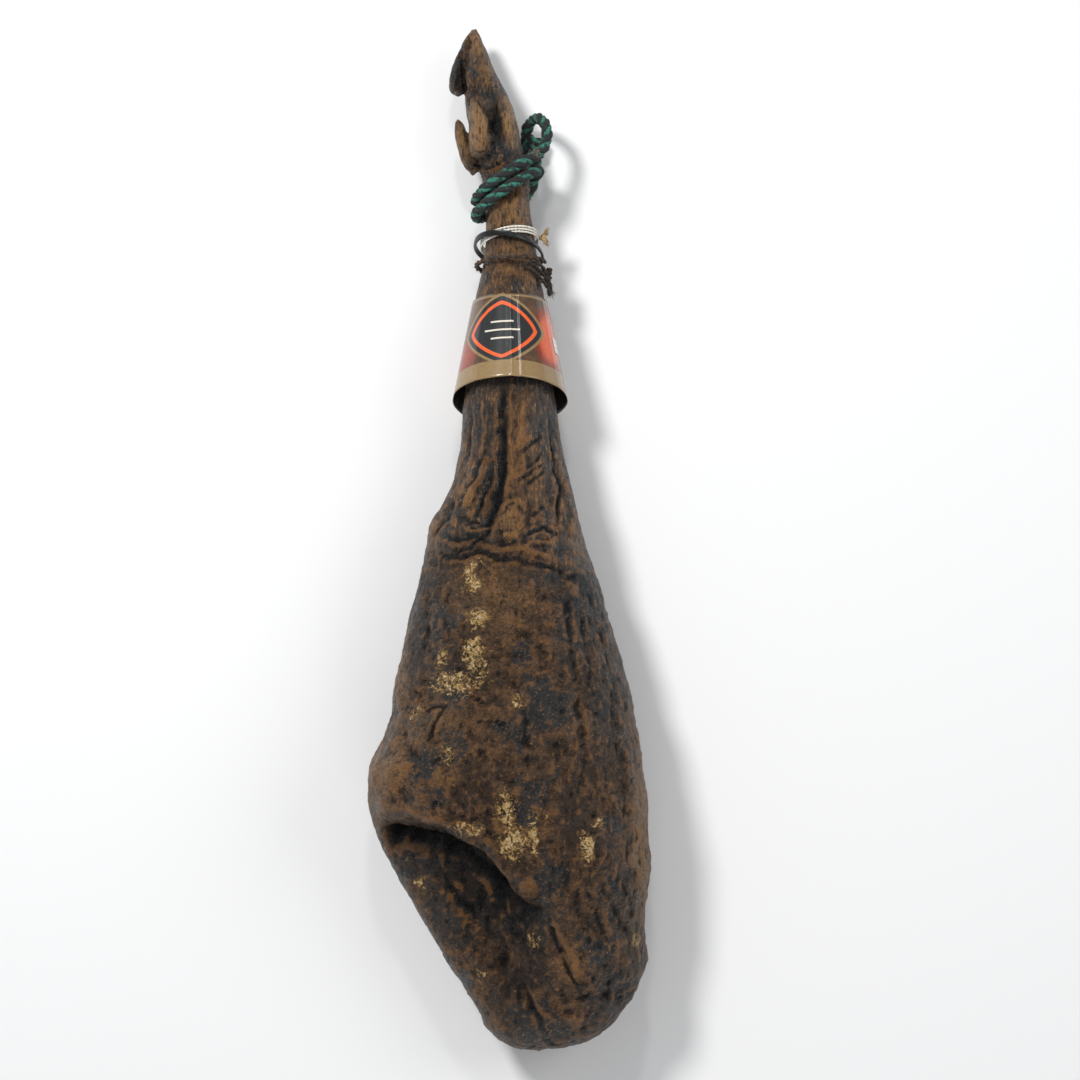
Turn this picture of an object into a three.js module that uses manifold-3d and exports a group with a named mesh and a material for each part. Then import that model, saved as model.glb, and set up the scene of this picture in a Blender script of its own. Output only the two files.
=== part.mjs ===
// A whole cured ham, lying on its outer side with its inner face up: the leg with hoof and dewclaws,
// and what is tied round its ankle and shank. Millimetres, +Z up, the hoof towards +Y.
// The origin is on the floor, under the middle of the ham's box.

import * as THREE from 'three';
import Module from 'manifold-3d';
import { mergeVertices } from 'three/addons/utils/BufferGeometryUtils.js';

const wasm = await Module();
wasm.setup();

// ---------------------------------------------------------------- driving dimensions

const HOOF_TIP_Y = 409;
const BUTT_END_Y = -409;
const BUTT_CAP = 26; // length over which the butt rounds off
const TOE_CAP = 5; // length over which the toe's point rounds off

// Outline of the leg from above, [along the leg, across it], butt to toe.
const LEFT_EDGE = [
  [-409, -18], [-396, -19], [-384, -20], [-366, -30], [-340, -48], [-318, -62], [-288, -79], [-262, -93],
  [-240, -104], [-218, -110], [-198, -111], [-182, -106], [-166, -98], [-148, -92], [-110, -87],
  [-75, -79], [-30, -68], [2, -64], [14, -56], [35, -46], [60, -40], [100, -36], [186, -27],
  [212, -21], [246, -18.5], [268, -19], [288, -23], [308, -28], [328, -33], [344, -35.5], [360, -37],
  [376, -36.5], [392, -33], [409, -28.5],
];
const RIGHT_EDGE = [
  [-409, 64], [-396, 76], [-384, 85], [-372, 93], [-358, 101.5], [-338, 107], [-300, 105.5], [-262, 111],
  [-222, 109], [-166, 102], [-104, 88], [-48, 72], [-8, 60], [35, 49], [75, 40], [110, 36],
  [186, 28], [214, 23], [240, 20], [258, 16.5], [282, 16], [309, 10], [336, 5], [352, -1],
  [374, -12], [391, -19], [409, -27],
];

// Side view of the leg, [along the leg, height]: the crown, the widest level and the underside.
const CROWN = [
  [-409, 92], [-372, 103], [-330, 122], [-280, 136], [-235, 143], [-190, 142], [-140, 135],
  [-80, 121], [-20, 107], [40, 98], [110, 90], [186, 77], [240, 62], [285, 61], [330, 60],
  [365, 52], [409, 36],
];
const WAIST = [[-409, 52], [-330, 58], [-190, 64], [-40, 60], [110, 56], [186, 50], [260, 42], [409, 33]];
const BELLY = [
  [-409, 14], [-370, 0], [-320, -5], [-200, -6], [-100, -4], [-40, 4], [30, 15], [110, 22], [186, 23],
  [250, 22.5], [330, 24], [380, 24], [409, 29],
];
const ROUNDNESS = 2.25; // exponent of the sections: 2 is an ellipse, more is squarer

// The cut rim of the pelvic bone: a ledge across the inner face, and the hollow beyond it.
const RIM_LINE = [[-112, -224], [-72, -226], [-48, -238], [-20, -261], [0, -279], [14, -289], [60, -300]];
const RIM_DROP = [[-112, 0], [-98, 16], [-70, 27], [-20, 34], [8, 28], [24, 8], [44, 0]];
const RIM_RUN = 13; // horizontal run of the step itself
const HOLLOW_FLAT = 26; // how far the hollow stays at its full depth
const HOLLOW_RISE = 105; // length over which it comes back up towards the butt

// Rounded lumps on the inner face: across, along, radius, height.
const LUMPS = [
  { x: 12, y: -279, radius: 16, height: 6 },
  { x: -88, y: -196, radius: 34, height: 9 },
  { x: -58, y: -206, radius: 26, height: 6 },
  { x: 4, y: 17, radius: 13, height: 4.5 },
  { x: 64, y: -344, radius: 34, height: 7 },
];

// Shallow grooves on the inner face: from, to, half width and depth.
const GROOVES = [
  { from: [-5, 122], to: [-7, 46], halfWidth: 8, depth: 4 },
  { from: [-7, 46], to: [-28, -14], halfWidth: 9, depth: 4 },
  { from: [32, -250], to: [86, -372], halfWidth: 14, depth: 6 },
  { from: [-24, 362], to: [-11, 320], halfWidth: 9, depth: 4.5 },
];

const SEGMENTS_ROUND = 40;
const RING_COUNT = 104;

// Claws beside the front toe, base to tip: [along the leg, left, right, middle height, half height].
const REAR_TOE = [
  [352.5, -41.5, -41, 33, 0], [355.6, -46.8, -38, 33, 7], [359.6, -49.2, -37.2, 33, 9.5],
  [367.6, -48.8, -35, 33, 10.5], [375.6, -47.2, -34, 33, 10], [383.6, -44.4, -33, 32.5, 9],
  [391.6, -40.8, -31.5, 32, 7.5], [399.6, -36.8, -29.5, 31.5, 5.5], [406, -32.4, -28, 31, 3],
  [409, -29.6, -29.4, 31, 0],
];
const OUTER_DEWCLAW = [
  [287, -29.5, -29, 38, 0], [293, -35.4, -24, 38, 6.5], [300.6, -39.6, -25, 38, 8.6], [308.6, -42, -27, 38, 9],
  [316.6, -43.8, -31, 38, 9], [324.6, -44.6, -34.6, 38, 8], [330.6, -44, -38, 38, 5],
  [334.6, -42.4, -41.8, 38, 0],
];
const INNER_DEWCLAW = [
  [296, -22.4, -22, 53, 0], [301.5, -30.6, -14.4, 53, 11.5], [309, -32.6, -12, 54, 14.6],
  [316, -32.8, -11.4, 55, 15.4], [323.6, -32.6, -13.4, 56.4, 14.2], [331.6, -32.4, -18, 58, 11],
  [339.6, -32, -23.4, 59, 7.4], [345.6, -31.2, -27, 59.5, 4.2], [349, -29, -28.8, 59.5, 0],
];
const CLAW_RINGS = 16;
const CLAW_SEGMENTS = 20;

const LEG_GAP = 0.8; // from the leg to what hugs it
const ROPE_DIAMETER = 9.5;
const STRING_DIAMETER = 1.8;
const TWINE_DIAMETER = 4.4;

// Windings round the ankle: the middle of the ring, its half size across and up, how far the ring leans
// along the leg per millimetre across and per millimetre up, and the pitch from one turn to the next.
const ROPE_WINDING = {
  centre: [-1.5, 266, 41.5], half: [25.3, 26.8], lean: 0.6, rise: 0, pitch: 12.4, from: 0, to: 1.64,
};
const STRING_WINDING = {
  centre: [0, 227.5, 42.4], half: [22.8, 23.2], lean: 0.13, rise: 0.24, pitch: 2.2, from: 0.8, to: 3.75,
};
const TWINE_WINDING = {
  centre: [1, 206.5, 47.3], half: [27.2, 28.2], lean: 0, rise: 0.06, pitch: 4.6, from: 0.795, to: 1.72,
};
const POINTS_PER_TURN = 16;

// The rope's free stretches, from the knot that joins its ends: the one that runs in under the ankle to
// the winding, and the loop that leaves the winding beside the foot and comes down round to the knot.
const ROPE_TUCK = [
  [21.3, 313.5, 6.4], [20.9, 300, 5.2], [18.7, 289, 5.4], [15.5, 279.9, 7], [10.7, 273.5, 9.9],
  [4.2, 269.2, 13.5],
];
const ROPE_LOOP = [
  [23.6, 303.4, 53.3], [28.2, 310.1, 50.1], [30.2, 318.7, 47.6], [28.3, 328.8, 42.3], [23.4, 335.1, 33.7],
  [18.4, 335.9, 24.4], [14.6, 332.1, 16.1], [13, 325.4, 10.1], [13.2, 317.6, 6.9], [14.6, 311.5, 6.2],
];
const ROPE_KNOT = { at: [19.6, 315.5, 9.6], half: [8.4, 10.6, 9] };

const TWINE_KNOT = { at: [30.2, 207.4, 47], half: [4.3, 6.75, 5.4] };
const TWINE_TAILS = [
  { from: [30.4, 204, 48], to: [32.4, 189.5, 46.5], radius: 1.7 },
  { from: [30.6, 204, 44], to: [32, 192, 38], radius: 1.5 },
];
const STRING_TAG = { at: [24, 236.3, 43], radius: 2.6, length: 9.5, flare: 6.2 };
const BLACK_BAND = {
  centre: [-0.6, 225.8, 39.8], half: [27, 29.2], section: [1.1, 2.1], lean: -0.18, rise: 0.3,
};

// The printed sleeve: a short cone. Its rings lean along the leg, by `lean` millimetres per millimetre up
// at the top rim and at the bottom rim.
const SLEEVE = {
  topY: 181.5, bottomY: 102.6, wall: 0.9, topHalf: [29.1, 29.2], bottomHalf: [44.8, 43.6], lean: [0.12, 0.3],
};
const SLEEVE_CENTRE = { top: [0.5, 50], bottom: [0.5, 54.5] };
const SLEEVE_SEGMENTS = 64;
const STICKER = { y: [135.7, 148.8], angle: [0.18, 0.42], wall: 0.5, gap: 0.3 };

// ---------------------------------------------------------------- small helpers

const MATERIALS = {
  cured: { color: 0x5f4430, roughness: 0.72 },
  rope: { color: 0x33433f, roughness: 0.85 },
  string: { color: 0xe6e2d6, roughness: 0.7 },
  tag: { color: 0xa98254, roughness: 0.85 },
  band: { color: 0x17191b, roughness: 0.35 },
  twine: { color: 0x4a3524, roughness: 0.9 },
  sleeve: { color: 0x6d4630, roughness: 0.25 },
  sticker: { color: 0xe9e6df, roughness: 0.5 },
};

function named(name, geometry, look) {
  const mesh = new THREE.Mesh(geometry, new THREE.MeshStandardMaterial({ ...MATERIALS[look], metalness: 0 }));
  mesh.name = name;
  return mesh;
}

function clamp01(value) {
  return Math.min(1, Math.max(0, value));
}

function smoothStep(value) {
  const t = clamp01(value);
  return t * t * (3 - 2 * t);
}

// A smooth line through [position, value] points that never overshoots them.
function lineThrough(points) {
  const slopes = points.slice(1).map((point, i) => (point[1] - points[i][1]) / (point[0] - points[i][0]));
  const tangents = points.map((_, i) => {
    if (i === 0 || i === points.length - 1) return slopes[Math.min(i, slopes.length - 1)];
    const [before, after] = [slopes[i - 1], slopes[i]];
    return before * after <= 0 ? 0 : (2 * before * after) / (before + after);
  });
  return (position) => {
    const last = points.length - 2;
    const i = Math.min(last, Math.max(0, points.findIndex((point) => point[0] > position) - 1));
    const k = position >= points[points.length - 1][0] ? last : i;
    const span = points[k + 1][0] - points[k][0];
    const t = clamp01((position - points[k][0]) / span);
    const start = points[k][1] * (1 + 2 * t) * (1 - t) ** 2 + tangents[k] * span * t * (1 - t) ** 2;
    const end = points[k + 1][1] * t * t * (3 - 2 * t) + tangents[k + 1] * span * t * t * (t - 1);
    return start + end;
  };
}

function geometryOf(positions, triangles) {
  const geometry = new THREE.BufferGeometry();
  geometry.setAttribute('position', new THREE.Float32BufferAttribute(positions, 3));
  geometry.setIndex(triangles);
  return geometry;
}

// ---------------------------------------------------------------- solids for joining and cutting

function solidOf(geometry) {
  const bare = geometry.clone();
  bare.deleteAttribute('normal');
  bare.deleteAttribute('uv');
  const merged = mergeVertices(bare, 1e-4);
  return new wasm.Manifold(
    new wasm.Mesh({
      numProp: 3,
      vertProperties: new Float32Array(merged.attributes.position.array),
      triVerts: new Uint32Array(merged.index.array),
    }),
  );
}

function geometryFrom(solid) {
  const mesh = solid.getMesh();
  return geometryOf(Array.from(mesh.vertProperties), Array.from(mesh.triVerts));
}

// ---------------------------------------------------------------- the ham

const leftEdge = lineThrough(LEFT_EDGE);
const rightEdge = lineThrough(RIGHT_EDGE);
const crown = lineThrough(CROWN);
const waist = lineThrough(WAIST);
const belly = lineThrough(BELLY);
const rimLine = lineThrough(RIM_LINE);
const rimDrop = lineThrough(RIM_DROP);

// How far the section has closed at the two ends: 1 along the leg, 0 at the very tips.
function endCap(y) {
  const butt = clamp01((y - BUTT_END_Y) / BUTT_CAP);
  const toe = clamp01((HOOF_TIP_Y - y) / TOE_CAP);
  return Math.sqrt(1 - (1 - butt) ** 2) * Math.sqrt(1 - (1 - toe) ** 2);
}

function rimRelief(x, y) {
  const beyond = rimLine(x) - y;
  const step = smoothStep(beyond / RIM_RUN);
  const recovery = smoothStep((beyond - HOLLOW_FLAT) / HOLLOW_RISE);
  return -rimDrop(x) * step * (1 - recovery);
}

function lumpRelief(x, y) {
  return LUMPS.reduce((sum, lump) => {
    const away = Math.hypot(x - lump.x, y - lump.y) / lump.radius;
    return sum + lump.height * smoothStep(1 - away);
  }, 0);
}

function grooveRelief(x, y) {
  return GROOVES.reduce((deepest, { from, to, halfWidth, depth }) => {
    const [dx, dy] = [to[0] - from[0], to[1] - from[1]];
    const along = clamp01(((x - from[0]) * dx + (y - from[1]) * dy) / (dx * dx + dy * dy));
    const away = Math.hypot(x - from[0] - along * dx, y - from[1] - along * dy);
    return Math.min(deepest, -depth * smoothStep(1 - away / halfWidth));
  }, 0);
}

function legPoint(y, angle) {
  const cap = endCap(y);
  const middle = (leftEdge(y) + rightEdge(y)) / 2;
  const halfWidth = ((rightEdge(y) - leftEdge(y)) / 2) * cap;
  const [c, s] = [Math.cos(angle), Math.sin(angle)];
  const bend = (value) => Math.sign(value) * Math.abs(value) ** (2 / ROUNDNESS);
  const x = middle + halfWidth * bend(c);
  const level = waist(y);
  const reach = (s > 0 ? crown(y) - level : level - belly(y)) * cap;
  const shaped = rimRelief(x, y) + lumpRelief(x, y) + grooveRelief(x, y);
  const relief = s > 0 ? shaped * smoothStep(s * 1.6) * cap : 0;
  return [x, y, level + reach * bend(s) + relief];
}

// Rings are even along the leg and close up towards the two ends.
function ringPositions() {
  return Array.from({ length: RING_COUNT }, (_, i) => {
    const t = (i + 0.5) / RING_COUNT;
    const even = BUTT_END_Y + (HOOF_TIP_Y - BUTT_END_Y) * t;
    const eased = (BUTT_END_Y + HOOF_TIP_Y) / 2 - ((HOOF_TIP_Y - BUTT_END_Y) / 2) * Math.cos(Math.PI * t);
    return even * 0.75 + eased * 0.25;
  });
}

// Closed skin over rings of equal point count, with one pole at each end.
function skin(rings, startPole, endPole) {
  const count = rings[0].length;
  const positions = [startPole, ...rings.flat(), endPole].flat();
  const triangles = [];
  const at = (ring, k) => 1 + ring * count + (k % count);
  for (let k = 0; k < count; k++) {
    triangles.push(0, at(0, k), at(0, k + 1));
    triangles.push(at(rings.length - 1, k + 1), at(rings.length - 1, k), rings.length * count + 1);
    for (let r = 0; r < rings.length - 1; r++) {
      triangles.push(at(r, k), at(r + 1, k), at(r + 1, k + 1));
      triangles.push(at(r, k), at(r + 1, k + 1), at(r, k + 1));
    }
  }
  return geometryOf(positions, triangles);
}

function legSkin() {
  const rings = ringPositions().map((y) =>
    Array.from({ length: SEGMENTS_ROUND }, (_, k) => legPoint(y, (2 * Math.PI * k) / SEGMENTS_ROUND)),
  );
  const pole = (y) => [(leftEdge(y) + rightEdge(y)) / 2, y, waist(y)];
  return skin(rings, pole(BUTT_END_Y), pole(HOOF_TIP_Y));
}

// A claw through its stations. The rings close up towards its base and its tip.
function claw(stations) {
  const curve = (column) => lineThrough(stations.map((station) => [station[0], station[column]]));
  const [left, right, level, halfHeight] = [1, 2, 3, 4].map(curve);
  const [baseY, tipY] = [stations[0][0], stations[stations.length - 1][0]];
  const rings = Array.from({ length: CLAW_RINGS }, (_, i) => {
    const y = baseY + ((tipY - baseY) * (1 - Math.cos((Math.PI * (i + 0.5)) / CLAW_RINGS))) / 2;
    return Array.from({ length: CLAW_SEGMENTS }, (_, k) => {
      const angle = (2 * Math.PI * k) / CLAW_SEGMENTS;
      const x = (left(y) + right(y)) / 2 + ((right(y) - left(y)) / 2) * Math.cos(angle);
      return [x, y, level(y) + halfHeight(y) * Math.sin(angle)];
    });
  });
  const pole = (y) => [(left(y) + right(y)) / 2, y, level(y)];
  return skin(rings, pole(baseY), pole(tipY));
}

function floorBlock() {
  const block = new THREE.BoxGeometry(600, 1200, 100);
  block.translate(0, 0, -50);
  return block;
}

// The ham, cut flat where its weight rests, with the middle of its box over the origin.
function hamGeometry() {
  const claws = [REAR_TOE, OUTER_DEWCLAW, INNER_DEWCLAW].map(claw);
  const grown = claws.reduce((solid, geometry) => solid.add(solidOf(geometry)), solidOf(legSkin()));
  const geometry = geometryFrom(grown.subtract(solidOf(floorBlock())));
  geometry.computeBoundingBox();
  const middle = geometry.boundingBox.getCenter(new THREE.Vector3());
  return geometry.translate(-middle.x, -middle.y, 0);
}

// ---------------------------------------------------------------- cords

// Points of a winding that starts under the leg and climbs its left side first.
function windingPoints({ centre, half, lean, rise, pitch, from, to }) {
  const steps = Math.round((to - from) * POINTS_PER_TURN);
  return Array.from({ length: steps + 1 }, (_, i) => {
    const turns = from + ((to - from) * i) / steps;
    const angle = -Math.PI / 2 - 2 * Math.PI * turns;
    const across = half[0] * Math.cos(angle);
    const up = half[1] * Math.sin(angle);
    return [centre[0] + across, centre[1] + lean * across + rise * up + pitch * turns, centre[2] + up];
  });
}

function cordTube(points, diameter, sides) {
  const spots = points.map((point) => new THREE.Vector3(...point));
  const path = new THREE.CatmullRomCurve3(spots, false, 'centripetal');
  const section = new THREE.Shape();
  for (let k = 0; k < sides; k++) {
    const angle = (2 * Math.PI * k) / sides;
    const [x, y] = [(diameter / 2) * Math.cos(angle), (diameter / 2) * Math.sin(angle)];
    if (k === 0) section.moveTo(x, y);
    else section.lineTo(x, y);
  }
  const steps = Math.min(80, Math.round(path.getLength() / (2 * Math.max(diameter, 3))));
  return new THREE.ExtrudeGeometry(section, { steps, bevelEnabled: false, extrudePath: path });
}

function ellipsoid(at, half) {
  const ball = new THREE.SphereGeometry(1, 18, 12);
  ball.scale(...half);
  return ball.translate(...at);
}

// A short tail from one point to another, thinner at its end.
function tail({ from, to, radius }) {
  const [start, end] = [new THREE.Vector3(...from), new THREE.Vector3(...to)];
  const direction = end.clone().sub(start);
  const geometry = new THREE.CylinderGeometry(radius * 0.7, radius, direction.length(), 8);
  geometry.applyQuaternion(new THREE.Quaternion().setFromUnitVectors(
    new THREE.Vector3(0, 1, 0), direction.normalize(),
  ));
  const middle = start.add(end).multiplyScalar(0.5);
  return geometry.translate(middle.x, middle.y, middle.z);
}

function ropeGeometry() {
  const tube = cordTube([...ROPE_TUCK, ...windingPoints(ROPE_WINDING), ...ROPE_LOOP], ROPE_DIAMETER, 10);
  return geometryFrom(solidOf(tube).add(solidOf(ellipsoid(ROPE_KNOT.at, ROPE_KNOT.half))));
}

function twineKnotGeometry() {
  const tails = TWINE_TAILS.map((spec) => solidOf(tail(spec)));
  const knot = solidOf(ellipsoid(TWINE_KNOT.at, TWINE_KNOT.half));
  return geometryFrom(tails.reduce((solid, one) => solid.add(one), knot));
}

function stringTagGeometry() {
  const { at, radius, length, flare } = STRING_TAG;
  const profile = [[0, 0], [radius, 0.5], [radius * 0.8, length * 0.4], [flare, length], [0, length]];
  const tag = new THREE.LatheGeometry(profile.map(([r, h]) => new THREE.Vector2(r, h)), 12);
  tag.scale(1, 1, 0.7);
  tag.rotateZ(-Math.PI / 2);
  return tag.translate(...at);
}

// A closed ring round the ankle, leaning along the leg, with a flat oval section.
function bandGeometry() {
  const { centre, half, section, lean, rise } = BLACK_BAND;
  const geometry = new THREE.TorusGeometry(1, 0.1, 10, 48);
  const spots = geometry.attributes.position;
  for (let i = 0; i < spots.count; i++) {
    const [px, py] = [spots.getX(i), spots.getY(i)];
    const ring = Math.hypot(px, py);
    const out = ((ring - 1) / 0.1) * section[0];
    const [ux, uz] = [px / ring, py / ring];
    const [x, z] = [ux * (half[0] + out), uz * (half[1] + out)];
    const y = (spots.getZ(i) / 0.1) * section[1] + lean * x + rise * z;
    spots.setXYZ(i, centre[0] + x, centre[1] + y, centre[2] + z);
  }
  geometry.index.array.reverse();
  return geometry;
}

// ---------------------------------------------------------------- the sleeve and its sticker

// A point on the sleeve's outer wall, set in or out of it by a gap: share 0 is the top rim, 1 the bottom.
function sleevePoint(share, angle, out) {
  const blend = (a, b) => a + (b - a) * share;
  const halfAcross = blend(SLEEVE.topHalf[0], SLEEVE.bottomHalf[0]) + out;
  const halfUp = blend(SLEEVE.topHalf[1], SLEEVE.bottomHalf[1]) + out;
  return [
    blend(SLEEVE_CENTRE.top[0], SLEEVE_CENTRE.bottom[0]) + halfAcross * Math.cos(angle),
    blend(SLEEVE.topY, SLEEVE.bottomY) + blend(...SLEEVE.lean) * halfUp * Math.sin(angle),
    blend(SLEEVE_CENTRE.top[1], SLEEVE_CENTRE.bottom[1]) + halfUp * Math.sin(angle),
  ];
}

// Closed ring of a wall: four rims joined round, outer top, outer bottom, inner bottom, inner top.
function sleeveGeometry() {
  const corners = [[0, SLEEVE.wall], [1, SLEEVE.wall], [1, 0], [0, 0]];
  const positions = [];
  const triangles = [];
  for (let k = 0; k < SLEEVE_SEGMENTS; k++) {
    const angle = (2 * Math.PI * k) / SLEEVE_SEGMENTS;
    corners.forEach(([share, out]) => positions.push(...sleevePoint(share, angle, out)));
    const next = (k + 1) % SLEEVE_SEGMENTS;
    corners.forEach((_, c) => {
      const [a, b] = [4 * k + c, 4 * k + ((c + 1) % 4)];
      const [d, e] = [4 * next + c, 4 * next + ((c + 1) % 4)];
      triangles.push(a, e, b, a, d, e);
    });
  }
  return geometryOf(positions, triangles);
}

function stickerGeometry() {
  const steps = 4;
  const shareOf = (y) => (SLEEVE.topY - y) / (SLEEVE.topY - SLEEVE.bottomY);
  const [near, far] = [SLEEVE.wall + STICKER.gap, SLEEVE.wall + STICKER.gap + STICKER.wall];
  const rings = Array.from({ length: steps + 1 }, (_, i) => {
    const angle = STICKER.angle[0] + ((STICKER.angle[1] - STICKER.angle[0]) * i) / steps;
    const [low, high] = STICKER.y.map(shareOf);
    const corners = [[low, near], [high, near], [high, far], [low, far]];
    return corners.map(([share, out]) => sleevePoint(share, angle, out));
  });
  const mean = (ring, axis) => ring.reduce((sum, point) => sum + point[axis], 0) / ring.length;
  const pole = (ring) => [0, 1, 2].map((axis) => mean(ring, axis));
  return skin(rings, pole(rings[0]), pole(rings[steps]));
}

// ---------------------------------------------------------------- the part

const part = new THREE.Group();
part.add(named('ham', hamGeometry(), 'cured'));
part.add(named('hanging_rope', ropeGeometry(), 'rope'));
part.add(named('white_string', cordTube(windingPoints(STRING_WINDING), STRING_DIAMETER, 8), 'string'));
part.add(named('string_tag', stringTagGeometry(), 'tag'));
part.add(named('black_band', bandGeometry(), 'band'));
part.add(named('brown_twine', cordTube(windingPoints(TWINE_WINDING), TWINE_DIAMETER, 8), 'twine'));
part.add(named('twine_knot', twineKnotGeometry(), 'twine'));
part.add(named('label_sleeve', sleeveGeometry(), 'sleeve'));
part.add(named('sleeve_sticker', stickerGeometry(), 'sticker'));

export default part;
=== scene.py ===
"""A whole cured ham lying on a pale floor, seen from above, with what is tied round its shank."""

import math

import bpy
import numpy as np
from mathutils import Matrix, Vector


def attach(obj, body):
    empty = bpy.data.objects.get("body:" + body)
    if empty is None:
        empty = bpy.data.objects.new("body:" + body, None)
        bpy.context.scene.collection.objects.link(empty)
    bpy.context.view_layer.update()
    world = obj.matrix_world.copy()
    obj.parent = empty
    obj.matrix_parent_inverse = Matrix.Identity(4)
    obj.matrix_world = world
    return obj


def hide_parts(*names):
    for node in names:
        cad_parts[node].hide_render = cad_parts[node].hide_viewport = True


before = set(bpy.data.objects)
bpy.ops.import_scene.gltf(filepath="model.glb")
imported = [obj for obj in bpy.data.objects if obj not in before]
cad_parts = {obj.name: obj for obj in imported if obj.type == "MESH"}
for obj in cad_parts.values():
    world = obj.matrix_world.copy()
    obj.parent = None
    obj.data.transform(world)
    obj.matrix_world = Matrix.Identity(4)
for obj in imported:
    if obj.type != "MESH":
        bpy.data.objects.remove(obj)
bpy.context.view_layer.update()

MM = 0.001
BODY = "root"

# ---------------------------------------------------------------- view and light

CAMERA_ELEVATION = math.radians(84)
CAMERA_DISTANCE = 3.0
CAMERA_LENS = 126.7
CAMERA_AIM = Vector((24.4 * MM, -9 * MM, 60 * MM))
LIGHT_AIM = Vector((0, 0, 50 * MM))
WORLD_COLOUR = (0.95, 0.97, 1.0, 1)
WORLD_STRENGTH = 0.31


def make_camera():
    data = bpy.data.cameras.new("camera")
    data.lens = CAMERA_LENS
    camera = bpy.data.objects.new("camera", data)
    bpy.context.collection.objects.link(camera)
    back = Vector((0, -math.cos(CAMERA_ELEVATION), math.sin(CAMERA_ELEVATION)))
    camera.location = CAMERA_AIM + back * CAMERA_DISTANCE
    camera.rotation_euler = (-back).to_track_quat("-Z", "Y").to_euler()
    bpy.context.scene.camera = camera


def area_light(name, place, size, power):
    data = bpy.data.lights.new(name, "AREA")
    data.shape = "DISK"
    data.size = size
    data.energy = power
    light = bpy.data.objects.new(name, data)
    bpy.context.collection.objects.link(light)
    light.location = place
    light.rotation_euler = (LIGHT_AIM - Vector(place)).to_track_quat("-Z", "Y").to_euler()


def make_lights():
    area_light("key", (-1.0, 1.0, 2.0), 0.5, 42)
    area_light("glint", (0.0, 1.7, 2.2), 0.25, 9)
    area_light("fill", (1.4, 0.2, 1.5), 1.2, 9)
    area_light("front", (0.2, -1.7, 1.7), 1.2, 7)
    world = bpy.data.worlds.new("studio")
    bpy.context.scene.world = world
    bpy.context.scene.view_settings.view_transform = "Standard"
    world.use_nodes = True
    background = world.node_tree.nodes["Background"].inputs
    background["Color"].default_value = WORLD_COLOUR
    background["Strength"].default_value = WORLD_STRENGTH


# ---------------------------------------------------------------- node and mesh helpers


def link_object(name, mesh):
    piece = bpy.data.objects.new(name, mesh)
    bpy.context.collection.objects.link(piece)
    return piece


def mesh_from(name, vertices, faces, smooth=True):
    mesh = bpy.data.meshes.new(name)
    mesh.from_pydata([tuple(map(float, v)) for v in vertices], [], [tuple(map(int, f)) for f in faces])
    mesh.validate()
    mesh.polygons.foreach_set("use_smooth", [smooth] * len(mesh.polygons))
    mesh.update()
    return mesh


def keep_values(mesh, title, values):
    """Stores a value for each vertex, which a material reads by its title."""
    stored = mesh.attributes.new(title, "FLOAT", "POINT").data
    stored.foreach_set("value", np.asarray(values, dtype=np.float32))


def dress(piece, material):
    piece.data.materials.clear()
    piece.data.materials.append(material)


def stand_for(piece, node, material):
    """Gives a piece its material and puts it in the place of a CAD node."""
    dress(piece, material)
    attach(piece, BODY)
    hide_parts(node)


# ---------------------------------------------------------------- noise for the surface, in numpy

HASH_PRIMES = [np.uint32(prime) for prime in (374761393, 668265263, 2246822519, 3266489917)]


def lattice_values(cells, seed):
    """A repeatable value from 0 to 1 for each whole-numbered lattice cell."""
    x, y, z = cells.astype(np.int64).astype(np.uint32).T
    mixed = x * HASH_PRIMES[0] + y * HASH_PRIMES[1] + z * HASH_PRIMES[2] + np.uint32(seed) * HASH_PRIMES[3]
    mixed = (mixed ^ (mixed >> np.uint32(15))) * HASH_PRIMES[2]
    mixed = (mixed ^ (mixed >> np.uint32(13))) * HASH_PRIMES[3]
    return (mixed ^ (mixed >> np.uint32(16))).astype(np.float64) / 0xFFFFFFFF


def gradients(cells, seed):
    angle = math.tau * lattice_values(cells, seed)
    height = 2 * lattice_values(cells, seed + 57) - 1
    flat = np.sqrt(1 - height ** 2)
    return np.stack([flat * np.cos(angle), flat * np.sin(angle), height], axis=1)


def noise(points, size, seed=0):
    """Smooth noise of about -1 to 1, whose features measure about size."""
    scaled = points / size
    cell = np.floor(scaled)
    inside = scaled - cell
    fade = inside ** 3 * (inside * (inside * 6 - 15) + 10)
    total = np.zeros(len(points))
    for corner in np.ndindex(2, 2, 2):
        weight = np.prod(np.where(np.array(corner) == 1, fade, 1 - fade), axis=1)
        total += weight * np.sum(gradients(cell + corner, seed) * (inside - corner), axis=1)
    return 1.6 * total


def fractal(points, size, octaves, seed=0, gain=0.5):
    total = sum(gain ** k * noise(points, size / 2 ** k, seed + 11 * k) for k in range(octaves))
    return total / sum(gain ** k for k in range(octaves))


def drift(points, size, seed):
    """Noise in two directions, which moves points seen from above sideways."""
    return np.stack([noise(points, size, seed), noise(points, size, seed + 1)], axis=1)


def ridges(points, size, seed=0):
    """From 0 to 1, with sharp crests along winding lines."""
    return 1 - np.abs(noise(points, size, seed)).clip(0, 1)


def ease(value, low, high):
    """0 up to low, 1 from high, and a smooth step between them."""
    t = ((value - low) / (high - low)).clip(0, 1)
    return t * t * (3 - 2 * t)


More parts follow.
